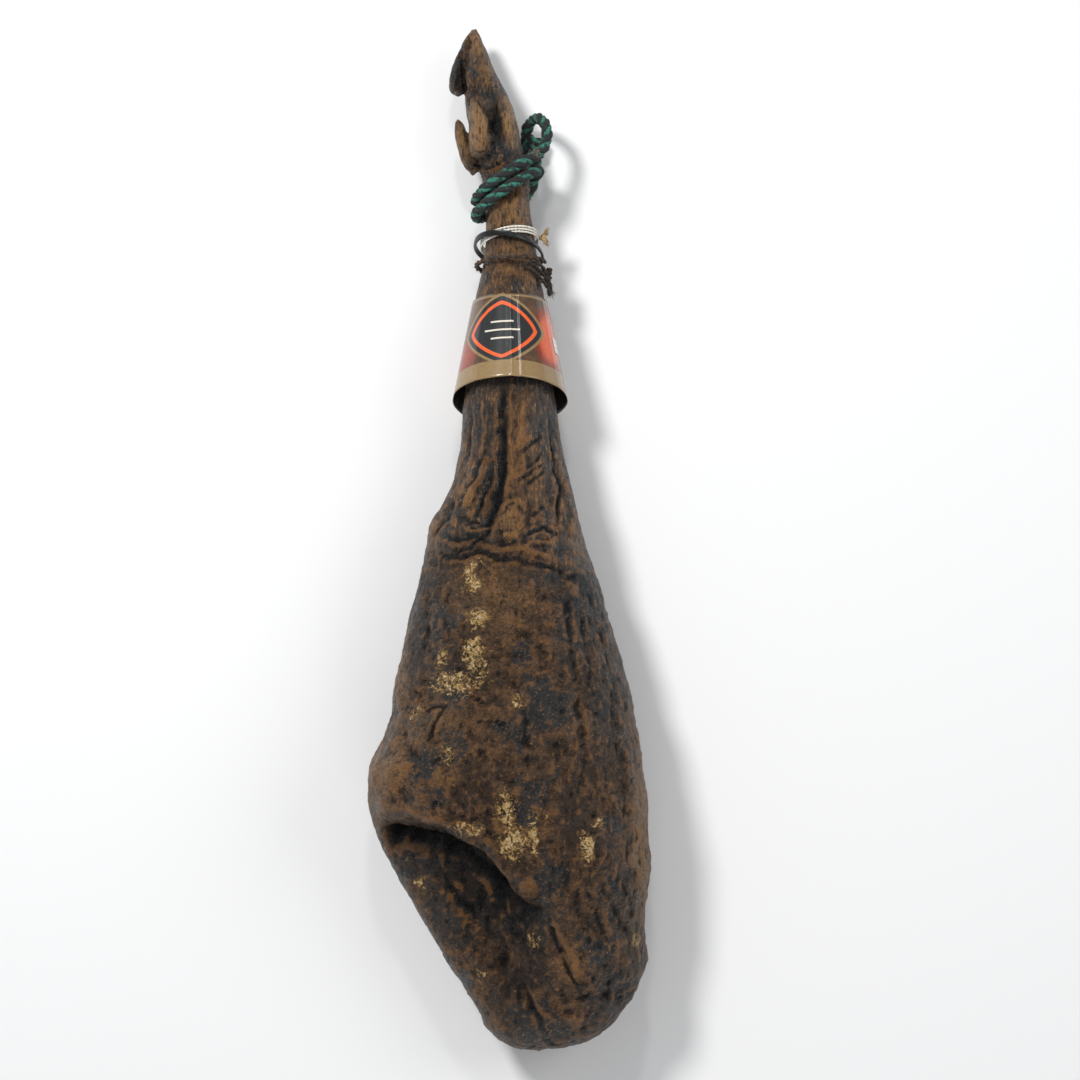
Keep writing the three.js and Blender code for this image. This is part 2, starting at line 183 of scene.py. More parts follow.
def line_distance(spots, line):
    """Distance of each spot from a line of points seen from above, and how far along it that is, 0 to 1."""
    line = np.array(line, dtype=float)
    lengths = np.linalg.norm(np.diff(line, axis=0), axis=1)
    starts = np.concatenate([[0], np.cumsum(lengths)])
    nearest = np.full(len(spots), 1e9)
    share = np.zeros(len(spots))
    for a, b, length, start in zip(line, line[1:], lengths, starts):
        t = ((spots - a) @ (b - a) / length ** 2).clip(0, 1)
        away = np.linalg.norm(spots - a - t[:, None] * (b - a), axis=1)
        closer = away < nearest
        nearest[closer] = away[closer]
        share[closer] = (start + t[closer] * length) / starts[-1]
    return nearest, share


# ---------------------------------------------------------------- the ham's features, in millimetres

# Lines on the inner face, seen from above: their points, half width, and height (a groove is negative).
STROKES = [
    # shank: the long groove beside the tendon, the tendon, and the folds of skin round them
    ([(-4, 122), (-5, 39), (-10, 18), (-18, -6), (-24, -23)], 7, -4.4),
    ([(-14, 56), (-25, 30), (-37, 9)], 5, 3.8),
    ([(-11, 46), (-20, 19), (-27, 4)], 3, -3.2),
    ([(-37, 5), (-24, 1), (-12, -2)], 2.6, -2.6),
    ([(-38, -3), (-22, -6), (-11, -2)], 2.6, 2),
    ([(-46, -22), (-30, -18), (-17, -11)], 2.8, -2.6),
    ([(-44, 24), (-50, 4), (-60, -10)], 4, -2.2),
    ([(-31, 104), (-32, 60), (-40, 30)], 4, -1.8),
    ([(-20, 104), (-19, 70), (-22, 48)], 4, 1.2),
    ([(12, 110), (12, 66), (8, 30)], 8, 1.6),
    ([(10, 55), (27, 70)], 2.6, -1.7),
    ([(12, 44), (28, 57)], 2.4, -1.6),
    ([(4, 30), (16, 40), (29, 50)], 2.6, -1.8),
    ([(13, 29), (30, 43)], 2.4, -1.5),
    ([(16, 6), (30, 14)], 2.4, -1.5),
    ([(10, -12), (27, -4), (41, -9)], 2.8, -2.2),
    ([(9, -20), (27, -14), (40, -13)], 2.6, 1.8),
    ([(34, 104), (36, 46), (40, 30), (37, 6), (38, -12)], 3.4, -2.4),
    ([(43, 40), (49, 14), (51, -14)], 4, 2),
    ([(-7, 6), (-4, 15), (4, 18), (12, 14), (14, 6)], 2.6, 2.2),
    # the end of the skin across the leg: a raised hem, and the step under it
    ([(-62, -14), (-56, -22), (-39, -27), (-28, -23), (-17, -23), (-6, -30), (8, -30), (25, -34), (40, -37),
      (58, -34)], 4.2, -2.6),
    ([(-60, -8), (-40, -18), (-26, -15), (-8, -21), (8, -21), (25, -25), (40, -28)], 5.5, 2.6),
    # body: seams between the muscles
    ([(40, -40), (46, -66), (48, -99), (54, -145), (57, -188)], 5.5, -3),
    ([(60, -44), (67, -72), (78, -104), (84, -156), (89, -205), (94, -256)], 3.6, -2),
    ([(70, -80), (86, -140), (95, -205), (98, -250)], 4.5, 1.6),
    ([(54, -60), (62, -104), (68, -150)], 3, -1.4),
    ([(11, -137), (16, -181), (12, -200)], 3.6, -2.2),
    ([(-26, -158), (-13, -155), (0, -159)], 2.8, -2.8),
    ([(-76, -124), (-64, -145), (-48, -145), (-58, -161), (-66, -179)], 3.2, -3),
    ([(-46, -145), (-30, -138), (-14, -144)], 2.8, -2),
    ([(-60, -50), (-64, -78), (-60, -104)], 4.5, -2.2),
    ([(-48, -46), (-54, -70), (-50, -92)], 5, 1.6),
    # the pelvic rim's lip, the hollow under it, and the folds of the butt
    ([(-98, -222), (-74, -224), (-60, -231), (-36, -235), (-20, -243), (-8, -257), (2, -271)], 8, 3.4),
    ([(-92, -242), (-66, -249), (-40, -254), (-22, -267), (-6, -290), (8, -304)], 9, -6.5),
    ([(-60, -266), (-34, -294), (-8, -322), (2, -354)], 8, -3.5),
    ([(35, -310), (43, -325), (56, -349), (71, -366)], 4.5, 3.6),
    ([(29, -305), (37, -330), (49, -354), (60, -370)], 3.6, -3.4),
    ([(12, -354), (18, -374), (30, -398), (37, -408)], 4.4, -3.6),
    ([(70, -276), (83, -302), (94, -322)], 3.6, -2.8),
    ([(80, -268), (92, -290), (99, -316)], 3, -2),
    ([(54, -266), (66, -298), (78, -332)], 3.4, -2),
    # foot: the cleft, the dewclaws' roots and the wrinkles of the heel
    ([(-40, 396), (-38, 376), (-36, 352), (-31, 338)], 3, -3),
    ([(-10, 350), (-12, 332), (-16, 312)], 4, -2.4),
    ([(-30, 296), (-18, 290), (-4, 294)], 3, -1.6),
    ([(-22, 372), (-16, 350), (-8, 330)], 6, -1.8),
]

STROKE_WIDTH = 0.78  # share of the half width that a line keeps
STROKE_CALM = 0.45  # how much lower the lines are on the meat

# Rounded rises and pits on the inner face: place across and along, radius, height.
KNOBS = [
    (4.5, 1, 11, 2.8), (4, 9, 6, 1.4), (0.5, -10, 6, 2.2), (16, -284, 10, 4.5), (-97, -200, 20, 3),
    (-79, -192, 15, 3), (-92, -218, 15, 2.5), (-70, -213, 12, 2.4), (-55, -226, 12, 2.4),
    (-68, -170, 12, 2.5), (-74, -156, 10, 2.4), (-55, -158, 9, 2), (-84, -174, 11, 2), (-46, -200, 14, 2),
    (-86, -243, 11, -5), (-74, -244, 9, -4), (-57, -220, 3.4, -3), (-52, -221, 3, -2.6),
    (-20, -290, 22, -5), (30, -326, 16, -3), (46, -376, 24, -3), (88, -356, 22, 3), (50, -34, 9, 2),
    (-84, -134, 10, 1.5), (48, -52, 9, 2.4), (20, -50, 12, 1.6), (-30, -196, 16, 1.5), (6, -212, 12, 1.6),
    (34, -186, 14, 1.4), (-44, -2, 10, 1.8),
]

# The pelvic rim, and how far its wall is drawn back under the lip.
RIM_LINE = [(-108, -230), (-74, -232), (-48, -240), (-21, -252), (-8, -266), (4, -282), (16, -294)]
RIM_UNDERCUT = 8
RIM_WALL = 20

# Patches of colour on the inner face: place across and along, half size across and along, strength.
PATCHES = {
    "mould": [
        (-28, -43, 7, 17, 1), (-22, -76, 10, 9, 1), (-27, -103, 9, 15, 1.1), (-51, -106, 6, 12, 0.8),
        (-40, -126, 24, 11, 0.9), (-20, -118, 6, 8, 0.7), (8, -141, 5, 6, 0.9), (-74, -150, 5, 5, 0.8),
        (-48, -181, 9, 9, 0.7), (-14, -183, 5, 4, 0.5), (-1, -226, 8, 20, 0.9), (4, -250, 12, 14, 1),
        (19, -246, 4, 20, 1), (-30, -238, 16, 7, 0.8), (60, -253, 6, 12, 1.1), (70, -236, 6, 5, 0.8),
        (64, -171, 5, 6, 0.6), (-70, -280, 5, 7, 0.9), (-78, -262, 5, 5, 0.7), (-21, -351, 7, 7, 0.7),
        (19, -323, 5, 9, 0.7), (98, -324, 5, 7, 0.9), (83, -333, 6, 5, 0.6), (40, -281, 6, 4, 0.5),
        (0, -10, 5, 6, 0.6), (-8, -165, 6, 6, 0.5), (-20, 26, 4, 10, 0.55), (10, -92, 8, 8, 0.45),
        (-22, -32, 14, 6, 0.5), (30, -360, 12, 12, 0.35), (-50, -56, 8, 10, 0.5), (26, -232, 8, 14, 0.5),
    ],
    "amber": [
        # (104, -240) runs along the body's right edge: painted highlight, the light along that edge
        (-82, -191, 26, 26, 0.9), (-58, -168, 22, 16, 0.5), (104, -240, 9, 62, 1),
        (-72, -300, 16, 40, 0.6), (-40, -350, 26, 30, 0.5), (52, -346, 16, 14, 0.9),
        (60, -372, 30, 22, 0.4), (-6, 0, 14, 12, 0.5), (26, -60, 26, 30, 0.35), (-10, -60, 30, 30, 0.35),
        (-31, 22, 7, 14, 0.8), (4, 60, 10, 30, 0.5), (40, -10, 16, 22, 0.45), (20, -120, 30, 40, 0.3),
        (-4, -240, 26, 22, 0.5), (2, 215, 22, 16, 0.6), (0, 255, 18, 16, 0.7), (-25, 318, 9, 22, 1.3),
        (-38, 314, 7, 18, 0.9), (2, 331, 6, 22, 1), (-27, 398, 7, 12, 0.7), (-22, 366, 6, 14, 0.5),
        (78, -190, 10, 30, 0.3), (18, -300, 14, 8, 0.5), (-60, -222, 20, 12, 0.4), (0, 88, 22, 20, 0.3),
        (-66, -140, 14, 22, 0.4),
    ],
    "slate": [
        (58, -62, 18, 42, 1), (78, -140, 12, 40, 0.7), (36, -44, 26, 10, 0.8), (-34, -300, 34, 22, 0.7),
        (12, -310, 26, 18, 0.8), (78, -366, 22, 20, 0.8), (-66, -66, 10, 40, 0.7), (30, 66, 14, 44, 0.9),
        (-24, 0, 16, 22, 0.9), (-12, 30, 9, 40, 0.8), (-50, 4, 14, 24, 0.8), (52, 0, 9, 40, 0.6),
        (-52, -122, 12, 12, 0.5), (84, -292, 16, 24, 0.6), (-18, 350, 10, 14, 1), (-4, 303, 9, 10, 1),
        (-8, 368, 6, 16, 0.9), (-30, 384, 6, 12, 0.5), (-62, -258, 30, 14, 0.6), (16, 120, 30, 16, 0.6),
        (-16, 300, 10, 8, 0.8), (20, -160, 10, 40, 0.3), (46, -96, 10, 30, 0.5), (-20, 90, 14, 30, 0.7),
        (-70, -180, 10, 10, 0.4),
    ],
    "tan": [
        (-25, 319, 8, 21, 1.2), (2, 331, 5, 20, 1), (-27, 398, 6, 12, 0.7), (-39, 312, 4, 17, 0.7),
        # (103, -240) and (104, -150) run along the body's right edge: painted highlight, the light along
        # that edge
        (0, 252, 17, 12, 0.6), (2, 222, 20, 7, 0.4), (103, -240, 6, 56, 1), (104, -150, 6, 30, 0.6),
        (-31, 22, 4, 12, 0.9), (50, -346, 3.5, 12, 1), (-98, -196, 14, 26, 0.5), (2, 6, 8, 12, 0.5),
        (-70, -298, 5, 20, 0.5), (-84, -110, 5, 40, 0.5), (-12, -60, 26, 20, 0.35),
        (-60, -160, 20, 14, 0.35), (-18, 372, 5, 12, 0.5), (22, 40, 5, 20, 0.4), (56, -8, 5, 24, 0.4),
        (-60, -4, 5, 14, 0.4),
    ],
    # near-black patches of painted shade: in the hoof's cleft, beside and under the dewclaws, in grooves
    # and in the hollow under the pelvic rim
    "char": [
        (-44, 380, 7, 24, 1.2), (-12, 324, 4.5, 17, 1.1), (-24, 296, 9, 4, 0.9), (-34, 322, 3, 12, 0.8),
        (-31, 352, 6, 6, 0.8), (-18, 276, 12, 12, 0.6), (-60, -246, 30, 9, 0.8), (-30, -262, 22, 10, 0.8),
        (-14, 20, 6, 26, 0.6), (-24, -16, 20, 6, 0.5),
    ],
}

COLLAR_LINE = [(-80, -6), (-56, -22), (-39, -27), (-28, -23), (-17, -23), (-6, -30), (8, -30), (25, -34),
               (40, -37), (90, -30)]

# The fine mesh is made in a space in which the foot is swollen, so that it gets smaller faces there.
HAM_VOXEL = 2.35 * MM
SWELL_AXIS = np.array([-5.0, 0.0, 42.0])
SWELL_RANGE = (60, 230)
SMOOTH_PASSES = 14
HOOF_TIP_Y = 409
HOOF_TIP_START = 380  # from here on the toe is drawn out again, as the mesh has lost its point


def swelling(y):
    """How many times finer the mesh is at a place along the leg."""
    return 1 + ease(y, *SWELL_RANGE)


def swell(points, back=False):
    """Moves points in millimetres into the swollen space, or back out of it."""
    lengths = np.linspace(-450, 450, 901)
    swollen = lengths[0] + np.concatenate([[0], np.cumsum(swelling(lengths[:-1] + 0.5))])
    y = np.interp(points[:, 1], swollen, lengths) if back else points[:, 1]
    factor = 1 / swelling(y) if back else swelling(y)
    moved = SWELL_AXIS + (points - SWELL_AXIS) * factor[:, None]
    moved[:, 1] = y if back else np.interp(y, lengths, swollen)
    return moved


def get_points(mesh, field="co"):
    values = np.empty(len(mesh.vertices) * 3, dtype=np.float32)
    mesh.vertices.foreach_get(field, values)
    return values.reshape(-1, 3).astype(float)


def set_points(mesh, points):
    mesh.vertices.foreach_set("co", points.astype(np.float32).ravel())
    mesh.update()


def joined_pairs(mesh):
    edges = np.empty(len(mesh.edges) * 2, dtype=np.int32)
    mesh.edges.foreach_get("vertices", edges)
    return edges.reshape(-1, 2).T


def relax(points, pairs, passes, strength):
    """Points drawn towards the mean of their neighbours; strength is 0 to 1, for all or for each."""
    a, b = pairs
    size = len(points)
    count = np.bincount(a, minlength=size) + np.bincount(b, minlength=size)
    strength = np.broadcast_to(strength, size)[:, None]
    for _ in range(passes):
        sums = [np.bincount(a, points[b, k], size) + np.bincount(b, points[a, k], size) for k in range(3)]
        points = points + strength * (np.stack(sums, axis=1) / count[:, None] - points)
    return points


def ham_surface():
    """The CAD ham as a fine mesh with its facets smoothed away."""
    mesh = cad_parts["ham"].data.copy()
    set_points(mesh, swell(get_points(mesh) / MM) * MM)
    piece = link_object("cured_ham", mesh)
    remesh = piece.modifiers.new("remesh", "REMESH")
    remesh.mode = "VOXEL"
    remesh.voxel_size = HAM_VOXEL
    evaluated = piece.evaluated_get(bpy.context.evaluated_depsgraph_get())
    fine = bpy.data.meshes.new_from_object(evaluated)
    piece.modifiers.clear()
    piece.data = fine
    points = swell(get_points(fine) / MM, back=True)
    keep = 0.5 - 0.3 * ease(points[:, 1], 262, 300) - 0.19 * ease(points[:, 1], 378, 398)
    points = relax(points, joined_pairs(fine), SMOOTH_PASSES, keep)
    tip = points[:, 1].max()
    stretch = (HOOF_TIP_Y - tip) / (tip - HOOF_TIP_START)
    points[:, 1] += (points[:, 1] - HOOF_TIP_START).clip(0) * stretch
    set_points(fine, points * MM)
    return piece


def patch_mask(points, patches, facing):
    """Soft, ragged patches on the inner face, 0 to 1."""
    ragged = points[:, :2] + 4 * drift(points, 9, 71)
    mask = np.zeros(len(points))
    for x, y, half_x, half_y, strength in patches:
        away = np.hypot((ragged[:, 0] - x) / half_x, (ragged[:, 1] - y) / half_y)
        mask = np.maximum(mask, strength * (1 - ease(away, 0.3, 1.8)))
    return (mask * facing).clip(0, 1)


def stroke_relief(points, facing):
    """The lines and knobs of the inner face: narrow, wandering and broken up, most of all on the meat."""
    body = 1 - ease(points[:, 1], -60, -20)
    steady = (1 - 0.7 * ease(points[:, 1], 262, 300))[:, None]
    wander = 2.0 * drift(points, 13, 61) + 0.9 * drift(points, 4.5, 64)
    spots = points[:, :2] + wander * steady
    uneven = (1 + (0.4 + 0.5 * body) * noise(points, 15, 63)).clip(0, 1.6) * (1 - STROKE_CALM * body)
    relief = np.zeros(len(points))
    for line, half, rise in STROKES:
        away, share = line_distance(spots, line)
        profile = (1 - (away / (STROKE_WIDTH * half)) ** 2).clip(0, 1) ** 1.5
        ends = ease(share, -0.001, 0.2) * ease(1 - share, -0.001, 0.2)
        relief += rise * profile * ends * uneven
    for x, y, radius, rise in KNOBS:
        away = np.hypot(spots[:, 0] - x, spots[:, 1] - y) / radius
        relief += rise * (1 - away ** 2).clip(0, 1) ** 1.5 * (1 + 0.35 * noise(points, 13, 66))
    return relief * facing


def beyond_rim(points):
    """How far each point lies beyond the pelvic rim, towards the butt."""
    line = np.array(RIM_LINE, dtype=float)
    return np.interp(points[:, 0], line[:, 0], line[:, 1]) - points[:, 1]


def undercut(points, facing):
    """Moves the wall under the pelvic rim back towards the hoof, so that the lip hangs over it."""
    beyond = beyond_rim(points)
    across = ease(points[:, 0], -104, -84) * (1 - ease(points[:, 0], 8, 26))
    pull = ease(beyond, 1, 9) * (1 - ease(beyond, 11, RIM_WALL + 6)) * across * facing
    return points + pull[:, None] * np.array([2.5, RIM_UNDERCUT, 0])


def painted_rim_shade(points, facing):
    """1 in the shade under the pelvic rim, where the colour gets painted shade."""
    beyond = beyond_rim(points)
    across = ease(points[:, 0], -106, -86) * (1 - ease(points[:, 0], 14, 44))
    fading = 1 - 0.5 * ease(beyond, 16, 50) - 0.5 * ease(beyond, 60, 125)
    return ease(beyond, -1, 5) * fading * across * facing


def fine_relief(points, x, y, meat, foot, facing):
    """Lumps, crust, pits, grain and wrinkles, in millimetres."""
    drawn_out = points * np.array([1, 0.3, 1])
    lumps = 2.4 * fractal(points, 46, 2, 21) * (1 - 0.8 * foot) * (1 - 0.6 * ease(y, 40, 120))
    crust = meat * (2.2 * fractal(points, 22, 4, 31, gain=0.66) + 0.8 * (ridges(points, 13, 33) ** 2 - 0.5))
    crust += meat * 0.9 * (0.3 - np.abs(noise(points * np.array([1, 0.6, 1]), 5.0, 36)))
    pits = -meat * 1.2 * ease(noise(points, 12, 34), 0.5, 0.9)
    grain = (0.35 + 0.65 * ease(x, 20, 60)) * meat * 1.5 * fractal(drawn_out, 7, 2, 35)
    hide = (1 - meat) * (1 - foot)
    folds = hide * (0.9 * fractal(drawn_out, 7, 3, 41) - 0.6 * ridges(drawn_out, 11, 42) ** 5)
    skin = hide * 0.7 * (ridges(points, 6, 45) - 0.7)
    puckers = 1.3 * ease(y, -40, -10) * (1 - ease(y, 40, 75)) * facing * (ridges(points, 9, 43) - 0.65)
    heel = 1.8 * ease(y, 255, 275) * (1 - ease(y, 300, 312))
    heel = heel * (ridges(points * np.array([1, 1.6, 1]), 6.5, 44) - 0.7)
    horn = 0.6 * fractal(points * np.array([1, 0.35, 1]), 5, 3, 51)
    horn = foot * (horn - 0.5 * ridges(points, 7, 52) ** 5)
    return lumps + crust + pits + grain + folds + skin + puckers + heel + horn


def shape_ham(piece):
    """Gives the ham its folds, lumps, crust and pits, and keeps masks for its colours, its painted shade
    and its painted highlights.
    """
    mesh = piece.data
    smooth_points = get_points(mesh) / MM
    normals = get_points(mesh, "normal")
    x, y, z = smooth_points.T
    facing = ease(normals[:, 2], -0.05, 0.4)
    collar = np.array(COLLAR_LINE, dtype=float)
    skin_end = np.interp(x, collar[:, 0], collar[:, 1]) + 2.5 * noise(smooth_points, 12, 5)
    inner_face = ease(normals[:, 2] + 0.25 * noise(smooth_points, 30, 6), -0.25, 0.05)
    meat = ease(skin_end - y, -1.5, 2.5) * inner_face
    foot = ease(y, 262, 300)
    grown = smooth_points + normals * stroke_relief(smooth_points, facing)[:, None]
    grown = undercut(grown, facing)
    resting = 1 - ease(-normals[:, 2], 0.5, 0.9) * (1 - ease(z, 0.3, 5))
    hugged = 1 - ease(y, 172, 180) * (1 - ease(y, 188, 196)) * 0.85
    fine = fine_relief(grown, x, y, meat, foot, facing) * resting * hugged
    grown = grown + normals * fine[:, None]
    grown[:, 2] = np.maximum(grown[:, 2], 0)
    set_points(mesh, grown * MM)
    mesh.polygons.foreach_set("use_smooth", np.ones(len(mesh.polygons), dtype=bool))

    seen = ease(normals[:, 2], -0.7, -0.1)
    masks = {name: patch_mask(smooth_points, patches, seen) for name, patches in PATCHES.items()}
    masks["meat"] = meat
    masks["foot"] = foot
    # mask for the painted shade under the pelvic rim
    masks["hollow"] = painted_rim_shade(grown, facing)
    masks["outer"] = 1 - ease(normals[:, 2], -0.5, 0.1)
    # how far each vertex lies in a crease or on a ridge, for the painted shade and painted highlight there
    masks["depth"] = local_depth(mesh, 5)
    # how deep each vertex lies in a broad dip, for the painted shade there
    masks["dip"] = local_depth(mesh, 70)
    for title, values in masks.items():
        keep_values(mesh, title, values)


def local_depth(mesh, passes):
    """How far each vertex lies under (+) or over (-) the blurred surface round it, in millimetres."""
    points = get_points(mesh) / MM
    blurred = relax(points, joined_pairs(mesh), passes, 0.7)
    return np.sum((blurred - points) * get_points(mesh, "normal"), axis=1)


# ---------------------------------------------------------------- cords

ROPE_DIAMETER = 9.5 * MM
STRING_DIAMETER = 1.8 * MM
TWINE_DIAMETER = 4.4 * MM
POINTS_PER_TURN = 16
SPLINE_STEPS = 24


def winding_points(centre, half, lean, rise, pitch, start, end):
    """Points of a winding that starts under the leg and climbs its left side first, in metres."""
    steps = round((end - start) * POINTS_PER_TURN)
    turns = np.linspace(start, end, steps + 1)
    angle = -math.pi / 2 - math.tau * turns
    across = half[0] * np.cos(angle)
    up = half[1] * np.sin(angle)
    along = centre[1] + lean * across + rise * up + pitch * turns
    return np.stack([centre[0] + across, along, centre[2] + up], axis=1) * MM


ROPE_TUCK = np.array([
    (21.3, 313.5, 6.4), (20.9, 300, 5.2), (18.7, 289, 5.4), (15.5, 279.9, 7), (10.7, 273.5, 9.9),
    (4.2, 269.2, 13.5),
]) * MM
ROPE_LOOP = np.array([
    (23.6, 303.4, 53.3), (28.2, 310.1, 50.1), (30.2, 318.7, 47.6), (28.3, 328.8, 42.3), (23.4, 335.1, 33.7),
    (18.4, 335.9, 24.4), (14.6, 332.1, 16.1), (13, 325.4, 10.1), (13.2, 317.6, 6.9), (14.6, 311.5, 6.2),
]) * MM
ROPE_ROUTE = np.concatenate([
    ROPE_TUCK,
    winding_points(
        centre=(-1.5, 266, 41.5), half=(25.3, 26.8), lean=0.6, rise=0, pitch=12.4, start=0, end=1.64
    ),
    ROPE_LOOP,
])
ROPE_KNOT = np.array((20.2, 317.0, 10.4)) * MM
STRING_ROUTE = winding_points(
    centre=(0, 227.5, 42.4), half=(22.8, 23.2), lean=0.13, rise=0.24, pitch=2.2, start=0.8, end=3.75
)
TWINE_ROUTE = winding_points(
    centre=(1, 206.5, 47.3), half=(27.2, 28.2), lean=0, rise=0.06, pitch=4.6, start=0.795, end=1.72
)


def spline_through(points):
    """Dense points of a centripetal Catmull-Rom spline through the points."""
    ends = [2 * points[0] - points[1], *points, 2 * points[-1] - points[-2]]
    dense = []
    for p0, p1, p2, p3 in zip(ends, ends[1:], ends[2:], ends[3:]):
        t1 = np.linalg.norm(p1 - p0) ** 0.5
        t2 = t1 + np.linalg.norm(p2 - p1) ** 0.5
        t3 = t2 + np.linalg.norm(p3 - p2) ** 0.5
        for t in np.linspace(t1, t2, SPLINE_STEPS, endpoint=False):
            a1 = (t1 - t) / t1 * p0 + t / t1 * p1
            a2 = (t2 - t) / (t2 - t1) * p1 + (t - t1) / (t2 - t1) * p2
            a3 = (t3 - t) / (t3 - t2) * p2 + (t - t2) / (t3 - t2) * p3
            b1 = (t2 - t) / t2 * a1 + t / t2 * a2
            b2 = (t3 - t) / (t3 - t1) * a2 + (t - t1) / (t3 - t1) * a3
            dense.append((t2 - t) / (t2 - t1) * b1 + (t - t1) / (t2 - t1) * b2)
    dense.append(points[-1])
    return np.array(dense)


def even_points(points, step):
    """The same line with points an even step apart, and its length."""
    lengths = np.concatenate([[0], np.cumsum(np.linalg.norm(np.diff(points, axis=0), axis=1))])
    count = max(2, round(lengths[-1] / step))
    spots = np.linspace(0, lengths[-1], count + 1)
    return np.stack([np.interp(spots, lengths, points[:, k]) for k in range(3)], axis=1), lengths[-1]


def carried_frames(points):
    """Unit side vectors along a line that turn with it and never twist."""
    tangents = np.gradient(points, axis=0)
    tangents /= np.linalg.norm(tangents, axis=1, keepdims=True)
    first = np.cross(tangents[0], (0.3, 0.2, 0.9))
    sides = [first / np.linalg.norm(first)]
    for tangent in tangents[1:]:
        side = sides[-1] - tangent * np.dot(sides[-1], tangent)
        sides.append(side / np.linalg.norm(side))
    sides = np.array(sides)
    return tangents, sides, np.cross(tangents, sides)


def tube_parts(points, radii, sides_count):
    """Vertices and quads of a closed tube; radii is one radius for each point."""
    _, side, up = carried_frames(points)
    angle = np.linspace(0, math.tau, sides_count, endpoint=False)
    ring = np.cos(angle)[None, :, None] * side[:, None, :] + np.sin(angle)[None, :, None] * up[:, None, :]
    vertices = (points[:, None, :] + ring * np.asarray(radii)[:, None, None]).reshape(-1, 3)
    faces = []
    for r in range(len(points) - 1):
        for k in range(sides_count):
            a, b = r * sides_count + k, r * sides_count + (k + 1) % sides_count
            faces.append((a, b, b + sides_count, a + sides_count))
    last = (len(points) - 1) * sides_count
    faces.append(tuple(reversed(range(sides_count))))
    faces.append(tuple(range(last, last + sides_count)))
    return vertices, faces


def declare_cord(cord, trim, node, material):
    """The cord itself, and the trim of knots and loose fibres that goes with it."""
    for piece in (cord, trim):
        stand_for(piece, node, material)


ROPE_FRAY = (20.6, 300.6, 60.5)
STRING_TAG = (24, 236.3, 43)
BAND = {
    "centre": (-0.6, 225.8, 39.8), "half": (27, 29.2), "section": (1.1, 2.1), "lean": -0.18, "rise": 0.3,
}
TWINE_TAILS = [
    [(30, 204, 49), (31.4, 199, 49), (32.4, 193, 47.5), (31.8, 189, 45)],
    [(14, 211, 72.5), (21, 208, 66.5), (27, 203, 58), (31, 197, 51), (32.6, 191, 47)],
    [(18, 213, 70), (25, 210, 62.5), (29.6, 205, 54.5), (32, 198.5, 50), (33.2, 192.5, 46)],
    [(10, 209, 74), (18, 205.5, 70), (25, 199.5, 62), (30.4, 194, 54), (32.4, 189, 49)],
]

# The sleeve: its two rims along the leg, its half sizes at them, how high their middles are, and how far
# they lean along the leg for each millimetre of height.
SLEEVE = {
    "y": (181.5, 102.6), "half_across": (29.1, 44.8), "half_up": (29.2, 43.6), "level": (50, 54.5),
    "middle": 0.5, "wall": 0.9, "lean": (0.12, 0.3),
}
# Creases down the film: place round from the top and drift in radians, rise in mm, half width in radians.
SLEEVE_CREASES = [
    (-0.01, -0.03, 0.6, 0.03), (-0.24, 0.02, 0.55, 0.03), (0.5, 0.1, 0.3, 0.05), (-1.0, 0.0, 0.35, 0.05),
]
# The print's own measure of the film: its length, its radius at the top and how much that grows, in mm.
PRINT_LENGTH = 71.0
PRINT_RADIUS = 29.0
PRINT_SPREAD = 16.0
KRAFT_START = 56.5  # from here down the film is kraft
KRAFT_LINE = (1.2, 2.6)  # the thin kraft line under the top rim
# Glows on the sleeve: middle and half size in millimetres across and down, and strength.
SLEEVE_GLOWS = [((39, 32), (23, 31), 1.1), ((-46, 46), (22, 20), 0.75), ((-78, 34), (22, 26), 0.8)]
# The lozenge on the sleeve, and the plain bars on it: how far down, and half their length and width.
LOZENGE_MIDDLE = (-6.0, 30.5)
LOZENGE_HALF = (36, 30.5)
LOZENGE_POWER = 1.32
SLEEVE_BARS = [(23.5, 9.0), (30.5, 14.0), (37.5, 9.0)]
BAR_HALF_WIDTH = 0.7
STICKER = {"share": (0.414, 0.58), "angle": (0.18, 0.42)}


# ---------------------------------------------------------------- materials


